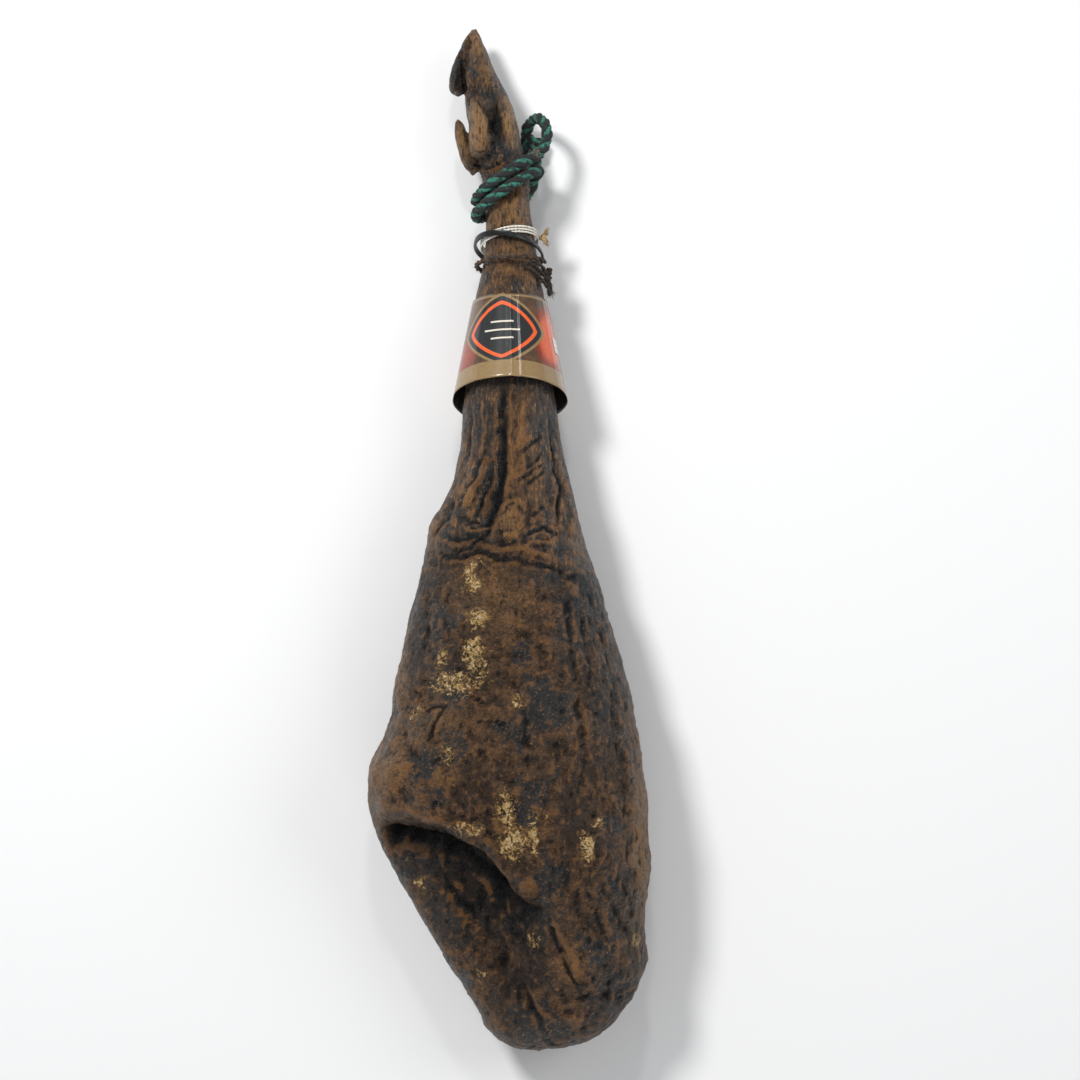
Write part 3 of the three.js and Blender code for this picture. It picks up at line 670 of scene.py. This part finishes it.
class Paint:
    """A procedural material, built one node at a time. Sockets are passed round as plain values."""

    def __init__(self, name):
        self.material = bpy.data.materials.new(name)
        self.material.use_nodes = True
        self.tree = self.material.node_tree
        self.shader = self.tree.nodes["Principled BSDF"]
        self.place = self.tree.nodes.new("ShaderNodeTexCoord").outputs["Object"]

    def node(self, kind, inputs=(), **settings):
        made = self.tree.nodes.new(kind)
        for key, value in settings.items():
            setattr(made, key, value)
        for key, value in dict(inputs).items():
            self.feed(made.inputs[key], value)
        return made

    def feed(self, socket, value):
        if isinstance(value, bpy.types.NodeSocket):
            self.tree.links.new(value, socket)
        elif socket.type == "RGBA":
            socket.default_value = (*value, 1) if len(value) == 3 else value
        else:
            socket.default_value = value

    def math(self, operation, a, b=0.0, clamp=False):
        return self.node("ShaderNodeMath", {0: a, 1: b}, operation=operation, use_clamp=clamp).outputs[0]

    def times(self, a, b, clamp=False):
        return self.math("MULTIPLY", a, b, clamp)

    def plus(self, a, b):
        return self.math("ADD", a, b)

    def attribute(self, name):
        return self.node("ShaderNodeAttribute", attribute_name=name).outputs["Fac"]

    def noise(self, scale, detail=3.0, roughness=0.55, distortion=0.0, place=None):
        inputs = {"Vector": place or self.place, "Scale": scale, "Detail": detail, "Roughness": roughness,
                  "Distortion": distortion}
        return self.node("ShaderNodeTexNoise", inputs).outputs["Fac"]

    def stretched(self, scale):
        return self.node("ShaderNodeVectorMath", {0: self.place, 1: scale}, operation="MULTIPLY").outputs[0]

    def range(self, value, low, high, to_low=0.0, to_high=1.0):
        inputs = {"Value": value, "From Min": low, "From Max": high, "To Min": to_low, "To Max": to_high}
        return self.node("ShaderNodeMapRange", inputs, interpolation_type="SMOOTHSTEP").outputs["Result"]

    def mix(self, factor, a, b):
        """Colour a where the factor is 0, and b where it is 1."""
        mixer = self.node("ShaderNodeMix", data_type="RGBA")
        self.feed(mixer.inputs[0], factor)
        self.feed(mixer.inputs[6], a)
        self.feed(mixer.inputs[7], b)
        return mixer.outputs[2]

    def part(self, axis):
        return self.node("ShaderNodeSeparateXYZ", {0: self.place}).outputs[axis]

    def bump(self, height, strength, distance):
        inputs = {"Height": height, "Strength": strength, "Distance": distance}
        self.feed(self.shader.inputs["Normal"], self.node("ShaderNodeBump", inputs).outputs["Normal"])

    def set(self, **inputs):
        for key, value in inputs.items():
            self.feed(self.shader.inputs[key.replace("_", " ")], value)
        return self.material


BROWN = (0.185, 0.095, 0.043)
UMBER = (0.058, 0.036, 0.023)
SLATE = (0.026, 0.037, 0.044)
AMBER = (0.390, 0.180, 0.055)
# the tan of the skin, also used as the painted highlight on the crests
TAN_SKIN_AND_HIGHLIGHT = (0.430, 0.240, 0.100)
GOLD = (0.860, 0.520, 0.160)
CREAM = (1.0, 0.90, 0.66)
BLACK = (0.006, 0.006, 0.006)
TEAL = (0.030, 0.165, 0.118)
CHARCOAL = (0.014, 0.015, 0.016)
STRING_WHITE = (0.80, 0.78, 0.71)
TAN = (0.40, 0.25, 0.11)
TWINE_BROWN = (0.085, 0.050, 0.028)
KRAFT = (0.275, 0.182, 0.082)
LABEL_BROWN = (0.125, 0.062, 0.030)
LABEL_RED = (0.23, 0.034, 0.014)
LABEL_ORANGE = (0.80, 0.120, 0.028)
LABEL_BLACK = (0.020, 0.023, 0.024)
BAR_CREAM = (0.72, 0.66, 0.55)


def ham_colour(paint, broad, middle, fine, grit, grain):
    """Brown, slate and tan in clouds and streaks, with painted shade (black) in the hollows and painted
    highlight on the crests.
    """
    meat = paint.attribute("meat")
    tone = paint.plus(paint.times(middle, 0.4), paint.times(broad, 0.6))
    colour = paint.mix(paint.range(tone, 0.45, 0.56), UMBER, BROWN)
    amber = paint.times(paint.attribute("amber"), paint.range(middle, 0.38, 0.58))
    amber = paint.plus(amber, paint.range(grain, 0.56, 0.70, 0, 0.5))
    amber = paint.times(amber, paint.range(fine, 0.38, 0.58), clamp=True)
    colour = paint.mix(amber, colour, AMBER)
    slate = paint.times(paint.attribute("slate"), paint.range(grain, 0.32, 0.48))
    slate = paint.math("MAXIMUM", slate, paint.range(broad, 0.53, 0.60, 0, 0.9))
    slate = paint.times(slate, paint.range(fine, 0.68, 0.56))
    colour = paint.mix(slate, colour, SLATE)
    tan = paint.times(paint.attribute("tan"), paint.range(fine, 0.36, 0.50))
    colour = paint.mix(paint.times(tan, 0.85), colour, TAN_SKIN_AND_HIGHLIGHT)
    # painted highlight: tan laid on the crests of the fine bump noise, where light would catch
    painted_crest_highlight = paint.times(paint.range(fine, 0.55, 0.66), paint.range(tone, 0.42, 0.54, 0.3, 1.0))
    colour = paint.mix(painted_crest_highlight, colour, TAN_SKIN_AND_HIGHLIGHT)
    # painted shade: black in the valleys of the fine bump noise, stronger on the meat
    painted_valley_shade = paint.plus(paint.times(meat, 0.3), 0.45)
    painted_valley_shade = paint.times(painted_valley_shade, paint.range(fine, 0.45, 0.36))
    colour = paint.mix(painted_valley_shade, colour, BLACK)
    colour = paint.mix(paint.range(grit, 0.52, 0.66, 0, 0.4), colour, UMBER)
    # painted shade: black in the hollow under the pelvic rim
    colour = paint.mix(paint.times(paint.attribute("hollow"), 0.8), colour, BLACK)
    # painted shade: black in the broad dips of the surface
    colour = paint.mix(paint.range(paint.attribute("dip"), 1.0, 4.5, 0, 0.75), colour, BLACK)
    # painted shade: black in the creases, where a vertex lies under its blurred neighbours
    colour = paint.mix(paint.range(paint.attribute("depth"), 0.10, 0.55, 0, 0.85), colour, BLACK)
    # painted highlight: amber on the ridges, where a vertex stands over its blurred neighbours
    colour = paint.mix(paint.range(paint.attribute("depth"), -0.15, -0.60, 0, 0.5), colour, AMBER)
    # painted shade: the near-black patches in clefts, grooves and hollows
    return paint.mix(paint.times(paint.attribute("char"), 0.94, clamp=True), colour, BLACK)


def ham_paint():
    paint = Paint("cured_ham")
    meat = paint.attribute("meat")
    broad = paint.noise(24, 4, 0.62)
    middle = paint.noise(110, 5, 0.68)
    crusty = paint.noise(430, 6, 0.74, 0.6)
    streaked = paint.noise(520, 5, 0.66, place=paint.stretched((1, 0.2, 1)))
    fine = paint.times(meat, paint.math("SUBTRACT", crusty, streaked))
    fine = paint.plus(streaked, fine)
    grit = paint.noise(1300, 2, 0.5)
    grain = paint.noise(120, 4, 0.6, place=paint.stretched((1, 0.22, 1)))
    colour = ham_colour(paint, broad, middle, fine, grit, grain)
    flecks = paint.times(paint.attribute("mould"), 0.235)
    flecks = paint.plus(flecks, paint.noise(300, 6, 0.80, 0.8))
    mould = paint.times(paint.range(flecks, 0.690, 0.720), paint.range(grit, 0.20, 0.36))
    mould = paint.times(mould, paint.range(paint.attribute("foot"), 0.2, 0.0))
    pale = paint.mix(paint.range(flecks, 0.74, 0.84), GOLD, CREAM)
    colour = paint.mix(mould, colour, pale)
    height = paint.plus(fine, paint.times(grit, 0.12))
    height = paint.plus(height, paint.times(middle, 0.9))
    height = paint.plus(height, paint.times(mould, 0.08))
    paint.bump(height, 1.0, 8.0 * MM)
    roughness = paint.range(middle, 0.35, 0.65, 0.24, 0.52)
    # the patches of painted shade are also glossier
    roughness = paint.math("SUBTRACT", roughness, paint.times(paint.attribute("char"), 0.12))
    return paint.set(Base_Color=colour, Roughness=roughness)


def make_ham():
    piece = ham_surface()
    shape_ham(piece)
    stand_for(piece, "ham", ham_paint())


# ---------------------------------------------------------------- hairs, knots and ties


def joined(name, parts):
    """One mesh from (vertices, faces, strand) parts, with the strand number kept for the material."""
    vertices, faces, strands = [], [], []
    for spots, quads, strand in parts:
        offset = len(vertices)
        vertices.extend(spots)
        faces.extend([tuple(offset + k for k in quad) for quad in quads])
        strands.extend([strand] * len(spots))
    mesh = mesh_from(name, vertices, faces)
    keep_values(mesh, "strand", strands)
    return link_object(name, mesh)


def hair_parts(roots, directions, length, radius, seed, strand=5.0, curl=0.35):
    """Short bent hairs from their roots."""
    random = np.random.default_rng(seed)
    parts = []
    for root, direction in zip(roots, directions):
        reach = length * random.uniform(0.45, 1.0)
        bend = random.normal(0, curl, 3)
        steps = np.linspace(0, 1, 6)[:, None]
        line = root + reach * (steps * direction + steps ** 2 * bend)
        line = np.maximum(line, [-1, -1, 0.0004])
        parts.append((*tube_parts(line, np.linspace(radius, radius * 0.35, 6), 4), strand))
    return parts


def fuzz_along(line, diameter, count, length, radius, seed):
    """Hairs that stand off a cord all along it."""
    random = np.random.default_rng(seed)
    tangents, side, up = carried_frames(line)
    picks = random.integers(2, len(line) - 2, count)
    angle = random.uniform(0, math.tau, count)[:, None]
    out = np.cos(angle) * side[picks] + np.sin(angle) * up[picks]
    lean = tangents[picks] * random.choice([-1.0, 1.0], count)[:, None]
    return hair_parts(line[picks] + out * diameter * 0.42, 0.6 * out + 0.8 * lean, length, radius, seed + 1)


def plies(route, diameter, strands, lay, step, sides_count, share, seed, unevenness=0.05, thin=1.0):
    """A twisted cord's parts, centreline and length; thin is the width of every other strand."""
    line, length = even_points(spline_through(np.array(route, dtype=float)), step)
    _, side, up = carried_frames(line)
    along = np.linspace(0, length, len(line))
    random = np.random.default_rng(seed)
    strand_radius = diameter * share
    orbit = diameter / 2 - strand_radius
    marks = np.linspace(0, length, 40)
    parts = []
    for strand in range(strands):
        angle = math.tau * (strand / strands + along / lay)
        centre = line + orbit * (np.cos(angle)[:, None] * side + np.sin(angle)[:, None] * up)
        uneven = 1 + np.interp(along, marks, random.normal(0, unevenness, len(marks)))
        radii = strand_radius * (thin if strand % 2 else 1.0) * uneven
        parts.append((*tube_parts(centre, radii, sides_count), float(strand)))
    return parts, line, length


def ring_route(centre, half, tilt, turns, rise, seed):
    """A few uneven turns round a middle, as in a knot."""
    random = np.random.default_rng(seed)
    count = int(turns * 10)
    angle = np.linspace(0, math.tau * turns, count)
    heights = np.linspace(-rise, rise, count)
    spots = np.stack([np.cos(angle) * half[0], heights, np.sin(angle) * half[1]], axis=1)
    spots += random.normal(0, 0.2, spots.shape)
    cosine, sine = math.cos(tilt), math.sin(tilt)
    turned = spots @ np.array([[1, 0, 0], [0, cosine, sine], [0, -sine, cosine]])
    return np.array(centre) * MM + turned * MM


def make_rope():
    parts, line, length = plies(
        ROPE_ROUTE, ROPE_DIAMETER, 4, 27 * MM, 1.0 * MM, 12, 0.272, seed=3, unevenness=0.1, thin=0.86
    )
    rope = joined("hanging_rope_strands", parts)
    knot = ring_route(ROPE_KNOT / MM, (4.3, 5.0), 0.35, 2.6, 6.6, seed=4)
    parts = plies(knot, 7.4 * MM, 4, 22 * MM, 1.0 * MM, 10, 0.262, seed=5)[0]
    parts += fuzz_along(line, ROPE_DIAMETER, 260, 3.2 * MM, 0.14 * MM, seed=6)
    random = np.random.default_rng(8)
    roots = np.array(ROPE_FRAY) * MM + random.normal(0, 1.6 * MM, (90, 3)) * np.array([1, 1, 0.5])
    out = random.normal(0, 0.5, (90, 3)) + np.array([0.1, 0.1, 0.9])
    parts += hair_parts(roots, out, 4.5 * MM, 0.16 * MM, seed=9, strand=6.0)
    trim = joined("hanging_rope_knot", parts)
    paint = rope_paint()
    declare_cord(rope, trim, "hanging_rope", paint)


def rope_paint():
    paint = Paint("hanging_rope")
    strand = paint.attribute("strand")
    green = paint.math("PINGPONG", strand, 1.0)
    loose = paint.math("GREATER_THAN", strand, 4.5)
    pale = paint.math("GREATER_THAN", strand, 5.5)
    speck = paint.noise(1500, 2, 0.6)
    worn = paint.noise(330, 4, 0.65)
    teal = paint.mix(paint.range(speck, 0.46, 0.60), TEAL, (0.060, 0.260, 0.190))
    teal = paint.mix(paint.range(worn, 0.47, 0.58, 0, 0.95), teal, CHARCOAL)
    dark = paint.mix(paint.range(speck, 0.54, 0.70, 0, 0.5), CHARCOAL, (0.085, 0.078, 0.072))
    dark = paint.mix(paint.range(worn, 0.40, 0.32, 0, 0.7), dark, TEAL)
    colour = paint.mix(green, dark, teal)
    colour = paint.mix(loose, colour, paint.mix(0.3, CHARCOAL, TEAL))
    frayed = paint.times(pale, paint.range(speck, 0.40, 0.55))
    colour = paint.mix(frayed, colour, (0.55, 0.46, 0.37))
    paint.bump(paint.plus(speck, worn), 1.0, 0.9 * MM)
    return paint.set(Base_Color=colour, Roughness=0.82)


def make_string():
    parts, line, length = plies(STRING_ROUTE, STRING_DIAMETER, 2, 6 * MM, 0.6 * MM, 8, 0.30, seed=5)
    string = joined("white_string_plies", parts)
    trim = joined("white_string_fuzz", fuzz_along(line, STRING_DIAMETER, 70, 2.0 * MM, 0.07 * MM, seed=12))
    paint = Paint("white_string")
    grime = paint.range(paint.noise(700, 3, 0.6), 0.52, 0.68, 0, 0.7)
    material = paint.set(Base_Color=paint.mix(grime, STRING_WHITE, TAN), Roughness=0.7)
    declare_cord(string, trim, "white_string", material)


def make_string_tag():
    """The string's knot, and the tuft of its cut ends, which flares on both sides of it."""
    at = np.array(STRING_TAG) * MM
    random = np.random.default_rng(21)
    count = 130
    parts = []
    for side in (-1, 1):
        roots = at + np.array([2.6, 0.5 * side, 0.5]) * MM + random.normal(0, 0.6 * MM, (count, 3))
        along = side * random.uniform(0.35, 1.0, count)
        up = random.uniform(-0.3, 0.4, count)
        out = np.stack([np.full(count, 0.55), along, up], axis=1)
        parts += hair_parts(roots, out, 7.6 * MM, 0.32 * MM, seed=22 + side, strand=0.0, curl=0.14)
    knot = ring_route(np.array(STRING_TAG) + [2.4, 0, 0], (1.8, 1.9), 0.3, 2.2, 1.5, seed=24)
    parts += plies(knot, 2.1 * MM, 2, 6 * MM, 0.6 * MM, 8, 0.3, seed=25)[0]
    tag = joined("string_tag_tuft", parts)
    paint = Paint("string_tag")
    speck = paint.noise(800, 3, 0.6)
    colour = paint.mix(paint.range(speck, 0.42, 0.60), (0.20, 0.12, 0.06), (0.62, 0.46, 0.25))
    stand_for(tag, "string_tag", paint.set(Base_Color=colour, Roughness=0.85))


def fibre_paint(name, dark, light):
    paint = Paint(name)
    speck = paint.noise(900, 3, 0.65)
    patch = paint.noise(260, 3, 0.6)
    colour = paint.mix(paint.range(patch, 0.40, 0.62), dark, light)
    colour = paint.mix(paint.range(speck, 0.55, 0.70, 0, 0.5), colour, (0.22, 0.15, 0.09))
    paint.bump(speck, 0.8, 0.5 * MM)
    return paint.set(Base_Color=colour, Roughness=0.85)


def make_twine():
    parts, line, length = plies(TWINE_ROUTE, TWINE_DIAMETER, 2, 15 * MM, 0.8 * MM, 10, 0.29, seed=7)
    twine = joined("brown_twine_plies", parts)
    trim = joined("brown_twine_fuzz", fuzz_along(line, TWINE_DIAMETER, 160, 4 * MM, 0.1 * MM, seed=31))
    material = fibre_paint("brown_twine", (0.022, 0.015, 0.011), TWINE_BROWN)
    declare_cord(twine, trim, "brown_twine", material)


def make_twine_knot():
    """The twine's knot on the right, and the strands and frayed tails that hang from it."""
    parts = []
    coil = ring_route((30.4, 206.5, 47), (2.4, 3.4), 0.2, 2.3, 3.6, seed=41)
    parts += plies(coil, 3.0 * MM, 2, 9 * MM, 0.7 * MM, 8, 0.29, seed=42)[0]
    for number, route in enumerate(TWINE_TAILS):
        route = np.array(route) * MM
        tail, line, _ = plies(route, 3.3 * MM, 2, 12 * MM, 0.7 * MM, 8, 0.29, seed=43 + number)
        parts += tail
        parts += fuzz_along(line, 2.4 * MM, 50, 4 * MM, 0.1 * MM, seed=50 + number)
    random = np.random.default_rng(60)
    roots = np.array([32.2, 192, 46]) * MM + random.normal(0, 1.0 * MM, (60, 3))
    parts += hair_parts(roots, random.normal(0, 0.3, (60, 3)) + [0.2, -0.8, 0], 5 * MM, 0.2 * MM, seed=61)
    knot = joined("twine_knot_strands", parts)
    material = fibre_paint("twine_knot", (0.014, 0.010, 0.009), (0.050, 0.032, 0.020))
    stand_for(knot, "twine_knot", material)


def squared(value):
    """A cosine or sine pushed outwards, which turns a circle into a rounded square."""
    return math.copysign(abs(value) ** 0.6, value)


def closed_grid(rows, columns):
    """Quads of a grid that joins up with itself both ways."""
    total = rows * columns
    faces = []
    for row in range(rows):
        for k in range(columns):
            a, b = row * columns + k, row * columns + (k + 1) % columns
            faces.append((a, b, (b + columns) % total, (a + columns) % total))
    return faces


def make_band():
    """A flat ring, which leans along the leg and sits unevenly on it."""
    around, across = 160, 16
    vertices = []
    for i in range(around):
        angle = math.tau * i / around
        unit = np.array([math.cos(angle), math.sin(angle)])
        twist = 0.35 * math.sin(2 * angle + 0.6)
        for k in range(across):
            section = math.tau * k / across
            thick = squared(math.cos(section)) * BAND["section"][0]
            wide = squared(math.sin(section)) * BAND["section"][1]
            out = thick * math.cos(twist) - wide * math.sin(twist)
            along = thick * math.sin(twist) + wide * math.cos(twist)
            x = unit[0] * (BAND["half"][0] + out)
            z = unit[1] * (BAND["half"][1] + out)
            y = along + BAND["lean"] * x + BAND["rise"] * z
            vertices.append((np.array(BAND["centre"]) + (x, y, z)) * MM)
    mesh = mesh_from("black_band_ring", vertices, closed_grid(around, across))
    band = link_object(mesh.name, mesh)
    paint = Paint("black_band")
    dust = paint.noise(500, 4, 0.6)
    colour = paint.mix(paint.range(dust, 0.5, 0.7, 0, 0.5), (0.007, 0.008, 0.008), (0.05, 0.055, 0.055))
    paint.bump(dust, 0.3, 0.3 * MM)
    stand_for(band, "black_band", paint.set(Base_Color=colour, Roughness=0.34))


# ---------------------------------------------------------------- the sleeve and its sticker


def part_way(ends, share):
    return ends[0] + (ends[1] - ends[0]) * share


def film_point(share, angle, out):
    """A point of the rippled film, in metres; out is how far it lies outside the half sizes."""
    return sleeve_point(share, angle, out + film_ripple(share, angle)) * MM


def sleeve_point(share, angle, out):
    """A point on the sleeve's wall in millimetres: share 0 is its top rim and 1 its bottom."""
    up = (part_way(SLEEVE["half_up"], share) + out) * math.sin(angle)
    x = SLEEVE["middle"] + (part_way(SLEEVE["half_across"], share) + out) * math.cos(angle)
    y = part_way(SLEEVE["y"], share) + part_way(SLEEVE["lean"], share) * up
    return np.array([x, y, part_way(SLEEVE["level"], share) + up])


def film_ripple(share, angle):
    """Creases and soft waves in the sleeve's film, in millimetres."""
    turned = angle - math.pi / 2
    crease = 0.0
    for at, drift, rise, half in SLEEVE_CREASES:
        crease += rise * math.exp(-((turned - at - drift * share) / half) ** 2)
    waves = 0.25 * math.sin(5 * angle + 1) * share + 0.12 * math.sin(11 * angle + 3 * share)
    return crease + waves * (0.3 + 0.7 * share)


def make_sleeve():
    """The film: its outer wall from the top rim down, then its inner wall back up."""
    around, along = 288, 40
    shares = [j / along for j in range(along + 1)]
    rows = [(share, SLEEVE["wall"]) for share in shares]
    rows += [(share, SLEEVE["wall"] * 0.55) for share in reversed(shares)]
    angles = [math.tau * i / around for i in range(around)]
    vertices = [film_point(share, angle, out) for share, out in rows for angle in angles]
    faces = [(quad[0], *quad[:0:-1]) for quad in closed_grid(len(rows), around)]
    mesh = mesh_from("label_sleeve_film", vertices, faces)
    turned = [(math.pi / 2 - angle + math.pi) % math.tau - math.pi for angle in angles]
    keep_values(mesh, "turned", turned * len(rows))
    keep_values(mesh, "share", np.repeat([share for share, _ in rows], around))
    keep_values(mesh, "inner", np.repeat([0.0, 1.0], around * len(shares)))
    sleeve = link_object(mesh.name, mesh)
    stand_for(sleeve, "label_sleeve", sleeve_paint())


def oval(paint, across, down, middle, half, power):
    """1 on the edge of a rounded figure, less inside it, more outside."""
    terms = []
    for value, centre, reach in ((across, middle[0], half[0]), (down, middle[1], half[1])):
        away = paint.math("ABSOLUTE", paint.math("DIVIDE", paint.math("SUBTRACT", value, centre), reach))
        terms.append(paint.math("POWER", away, power))
    return paint.plus(*terms)


def between(paint, value, low, high):
    """1 where the value lies between low and high, 0 elsewhere."""
    above = paint.math("GREATER_THAN", value, low)
    return paint.times(above, paint.math("LESS_THAN", value, high))


def sleeve_paint():
    """A plain printed sleeve: a dark lozenge with a plain outline, a glow each side, and a kraft strip."""
    paint = Paint("label_sleeve")
    down = paint.times(paint.attribute("share"), PRINT_LENGTH)
    radius = paint.plus(PRINT_RADIUS, paint.times(paint.attribute("share"), PRINT_SPREAD))
    across = paint.times(paint.attribute("turned"), radius)
    cloud = paint.noise(90, 4, 0.6)
    colour = paint.mix(paint.range(cloud, 0.42, 0.60), (0.075, 0.045, 0.028), LABEL_BROWN)
    dots = paint.noise(1500, 2, 0.7)
    for middle, half, strength in SLEEVE_GLOWS:
        glow = paint.range(oval(paint, across, down, middle, half, 2.0), 1.25, 0.1, 0, strength)
        dotted = paint.plus(glow, paint.times(dots, 1.4))
        colour = paint.mix(paint.range(dotted, 0.95, 1.25), colour, LABEL_RED)
        colour = paint.mix(paint.range(dotted, 1.45, 1.75, 0, 0.85), colour, LABEL_ORANGE)
    lozenge = oval(paint, across, down, LOZENGE_MIDDLE, LOZENGE_HALF, LOZENGE_POWER)
    colour = paint.mix(paint.math("LESS_THAN", lozenge, 1.0), colour, KRAFT)
    colour = paint.mix(paint.math("LESS_THAN", lozenge, 0.9), colour, LABEL_BLACK)
    colour = paint.mix(between(paint, lozenge, 0.62, 0.74), colour, LABEL_ORANGE)
    colour = sleeve_bars(paint, colour, across, down)
    colour = paint.mix(paint.math("GREATER_THAN", down, KRAFT_START), colour, KRAFT)
    colour = paint.mix(between(paint, down, *KRAFT_LINE), colour, KRAFT)
    colour = paint.mix(paint.range(paint.noise(500, 3), 0.50, 0.75, 0, 0.25), colour, UMBER)
    colour = paint.mix(paint.attribute("inner"), colour, (0.045, 0.035, 0.030))
    paint.bump(paint.noise(300, 3), 0.12, 0.4 * MM)
    return paint.set(Base_Color=colour, Roughness=0.22, Coat_Weight=0.35, Coat_Roughness=0.04)


def sleeve_bars(paint, colour, across, down):
    """Plain bars inside the lozenge."""
    centre = LOZENGE_MIDDLE[0]
    for level, half in SLEEVE_BARS:
        bar = between(paint, across, centre - half, centre + half)
        bar = paint.times(bar, between(paint, down, level - BAR_HALF_WIDTH, level + BAR_HALF_WIDTH))
        colour = paint.mix(bar, colour, BAR_CREAM)
    return colour


def make_sticker():
    """A small white sticker, which follows the sleeve's film on its right."""
    rows, columns = 10, 12
    vertices, faces = [], []
    for out in (SLEEVE["wall"] + 0.22, SLEEVE["wall"] + 0.4):
        for j in range(rows + 1):
            for i in range(columns + 1):
                share = part_way(STICKER["share"], j / rows)
                angle = part_way(STICKER["angle"], i / columns)
                vertices.append(film_point(share, angle, out))
    size = (rows + 1) * (columns + 1)
    for j in range(rows):
        for i in range(columns):
            a = j * (columns + 1) + i
            faces.append((a, a + 1, a + columns + 2, a + columns + 1))
            faces.append((size + a, size + a + columns + 1, size + a + columns + 2, size + a + 1))
    edge = list(range(columns + 1))
    edge += [j * (columns + 1) + columns for j in range(1, rows + 1)]
    edge += [rows * (columns + 1) + i for i in reversed(range(columns))]
    edge += [j * (columns + 1) for j in reversed(range(1, rows))]
    for a, b in zip(edge, edge[1:] + edge[:1]):
        faces.append((b, a, size + a, size + b))
    mesh = mesh_from("sleeve_sticker_paper", vertices, faces, smooth=False)
    stand_for(link_object(mesh.name, mesh), "sleeve_sticker", sticker_paint())


def sticker_paint():
    """White paper with plain, faint grey rows."""
    paint = Paint("sleeve_sticker")
    rows = paint.math("SINE", paint.times(paint.part("Y"), 1500.0))
    rows = paint.math("GREATER_THAN", rows, 0.35)
    grey = paint.times(rows, paint.range(paint.noise(900, 2), 0.45, 0.55, 0, 0.35))
    colour = paint.mix(grey, (0.82, 0.80, 0.76), (0.20, 0.20, 0.20))
    return paint.set(Base_Color=colour, Roughness=0.45)


def make_floor():
    half = 6
    corners = [(-half, -half, 0), (half, -half, 0), (half, half, 0), (-half, half, 0)]
    floor = link_object("floor", mesh_from("floor", corners, [(0, 1, 2, 3)], smooth=False))
    floor.data.materials.append(Paint("floor").set(Base_Color=(0.86, 0.86, 0.86), Roughness=0.9))


make_camera()
make_lights()
make_ham()
make_rope()
make_string()
make_string_tag()
make_band()
make_twine()
make_twine_knot()
make_sleeve()
make_sticker()
make_floor()
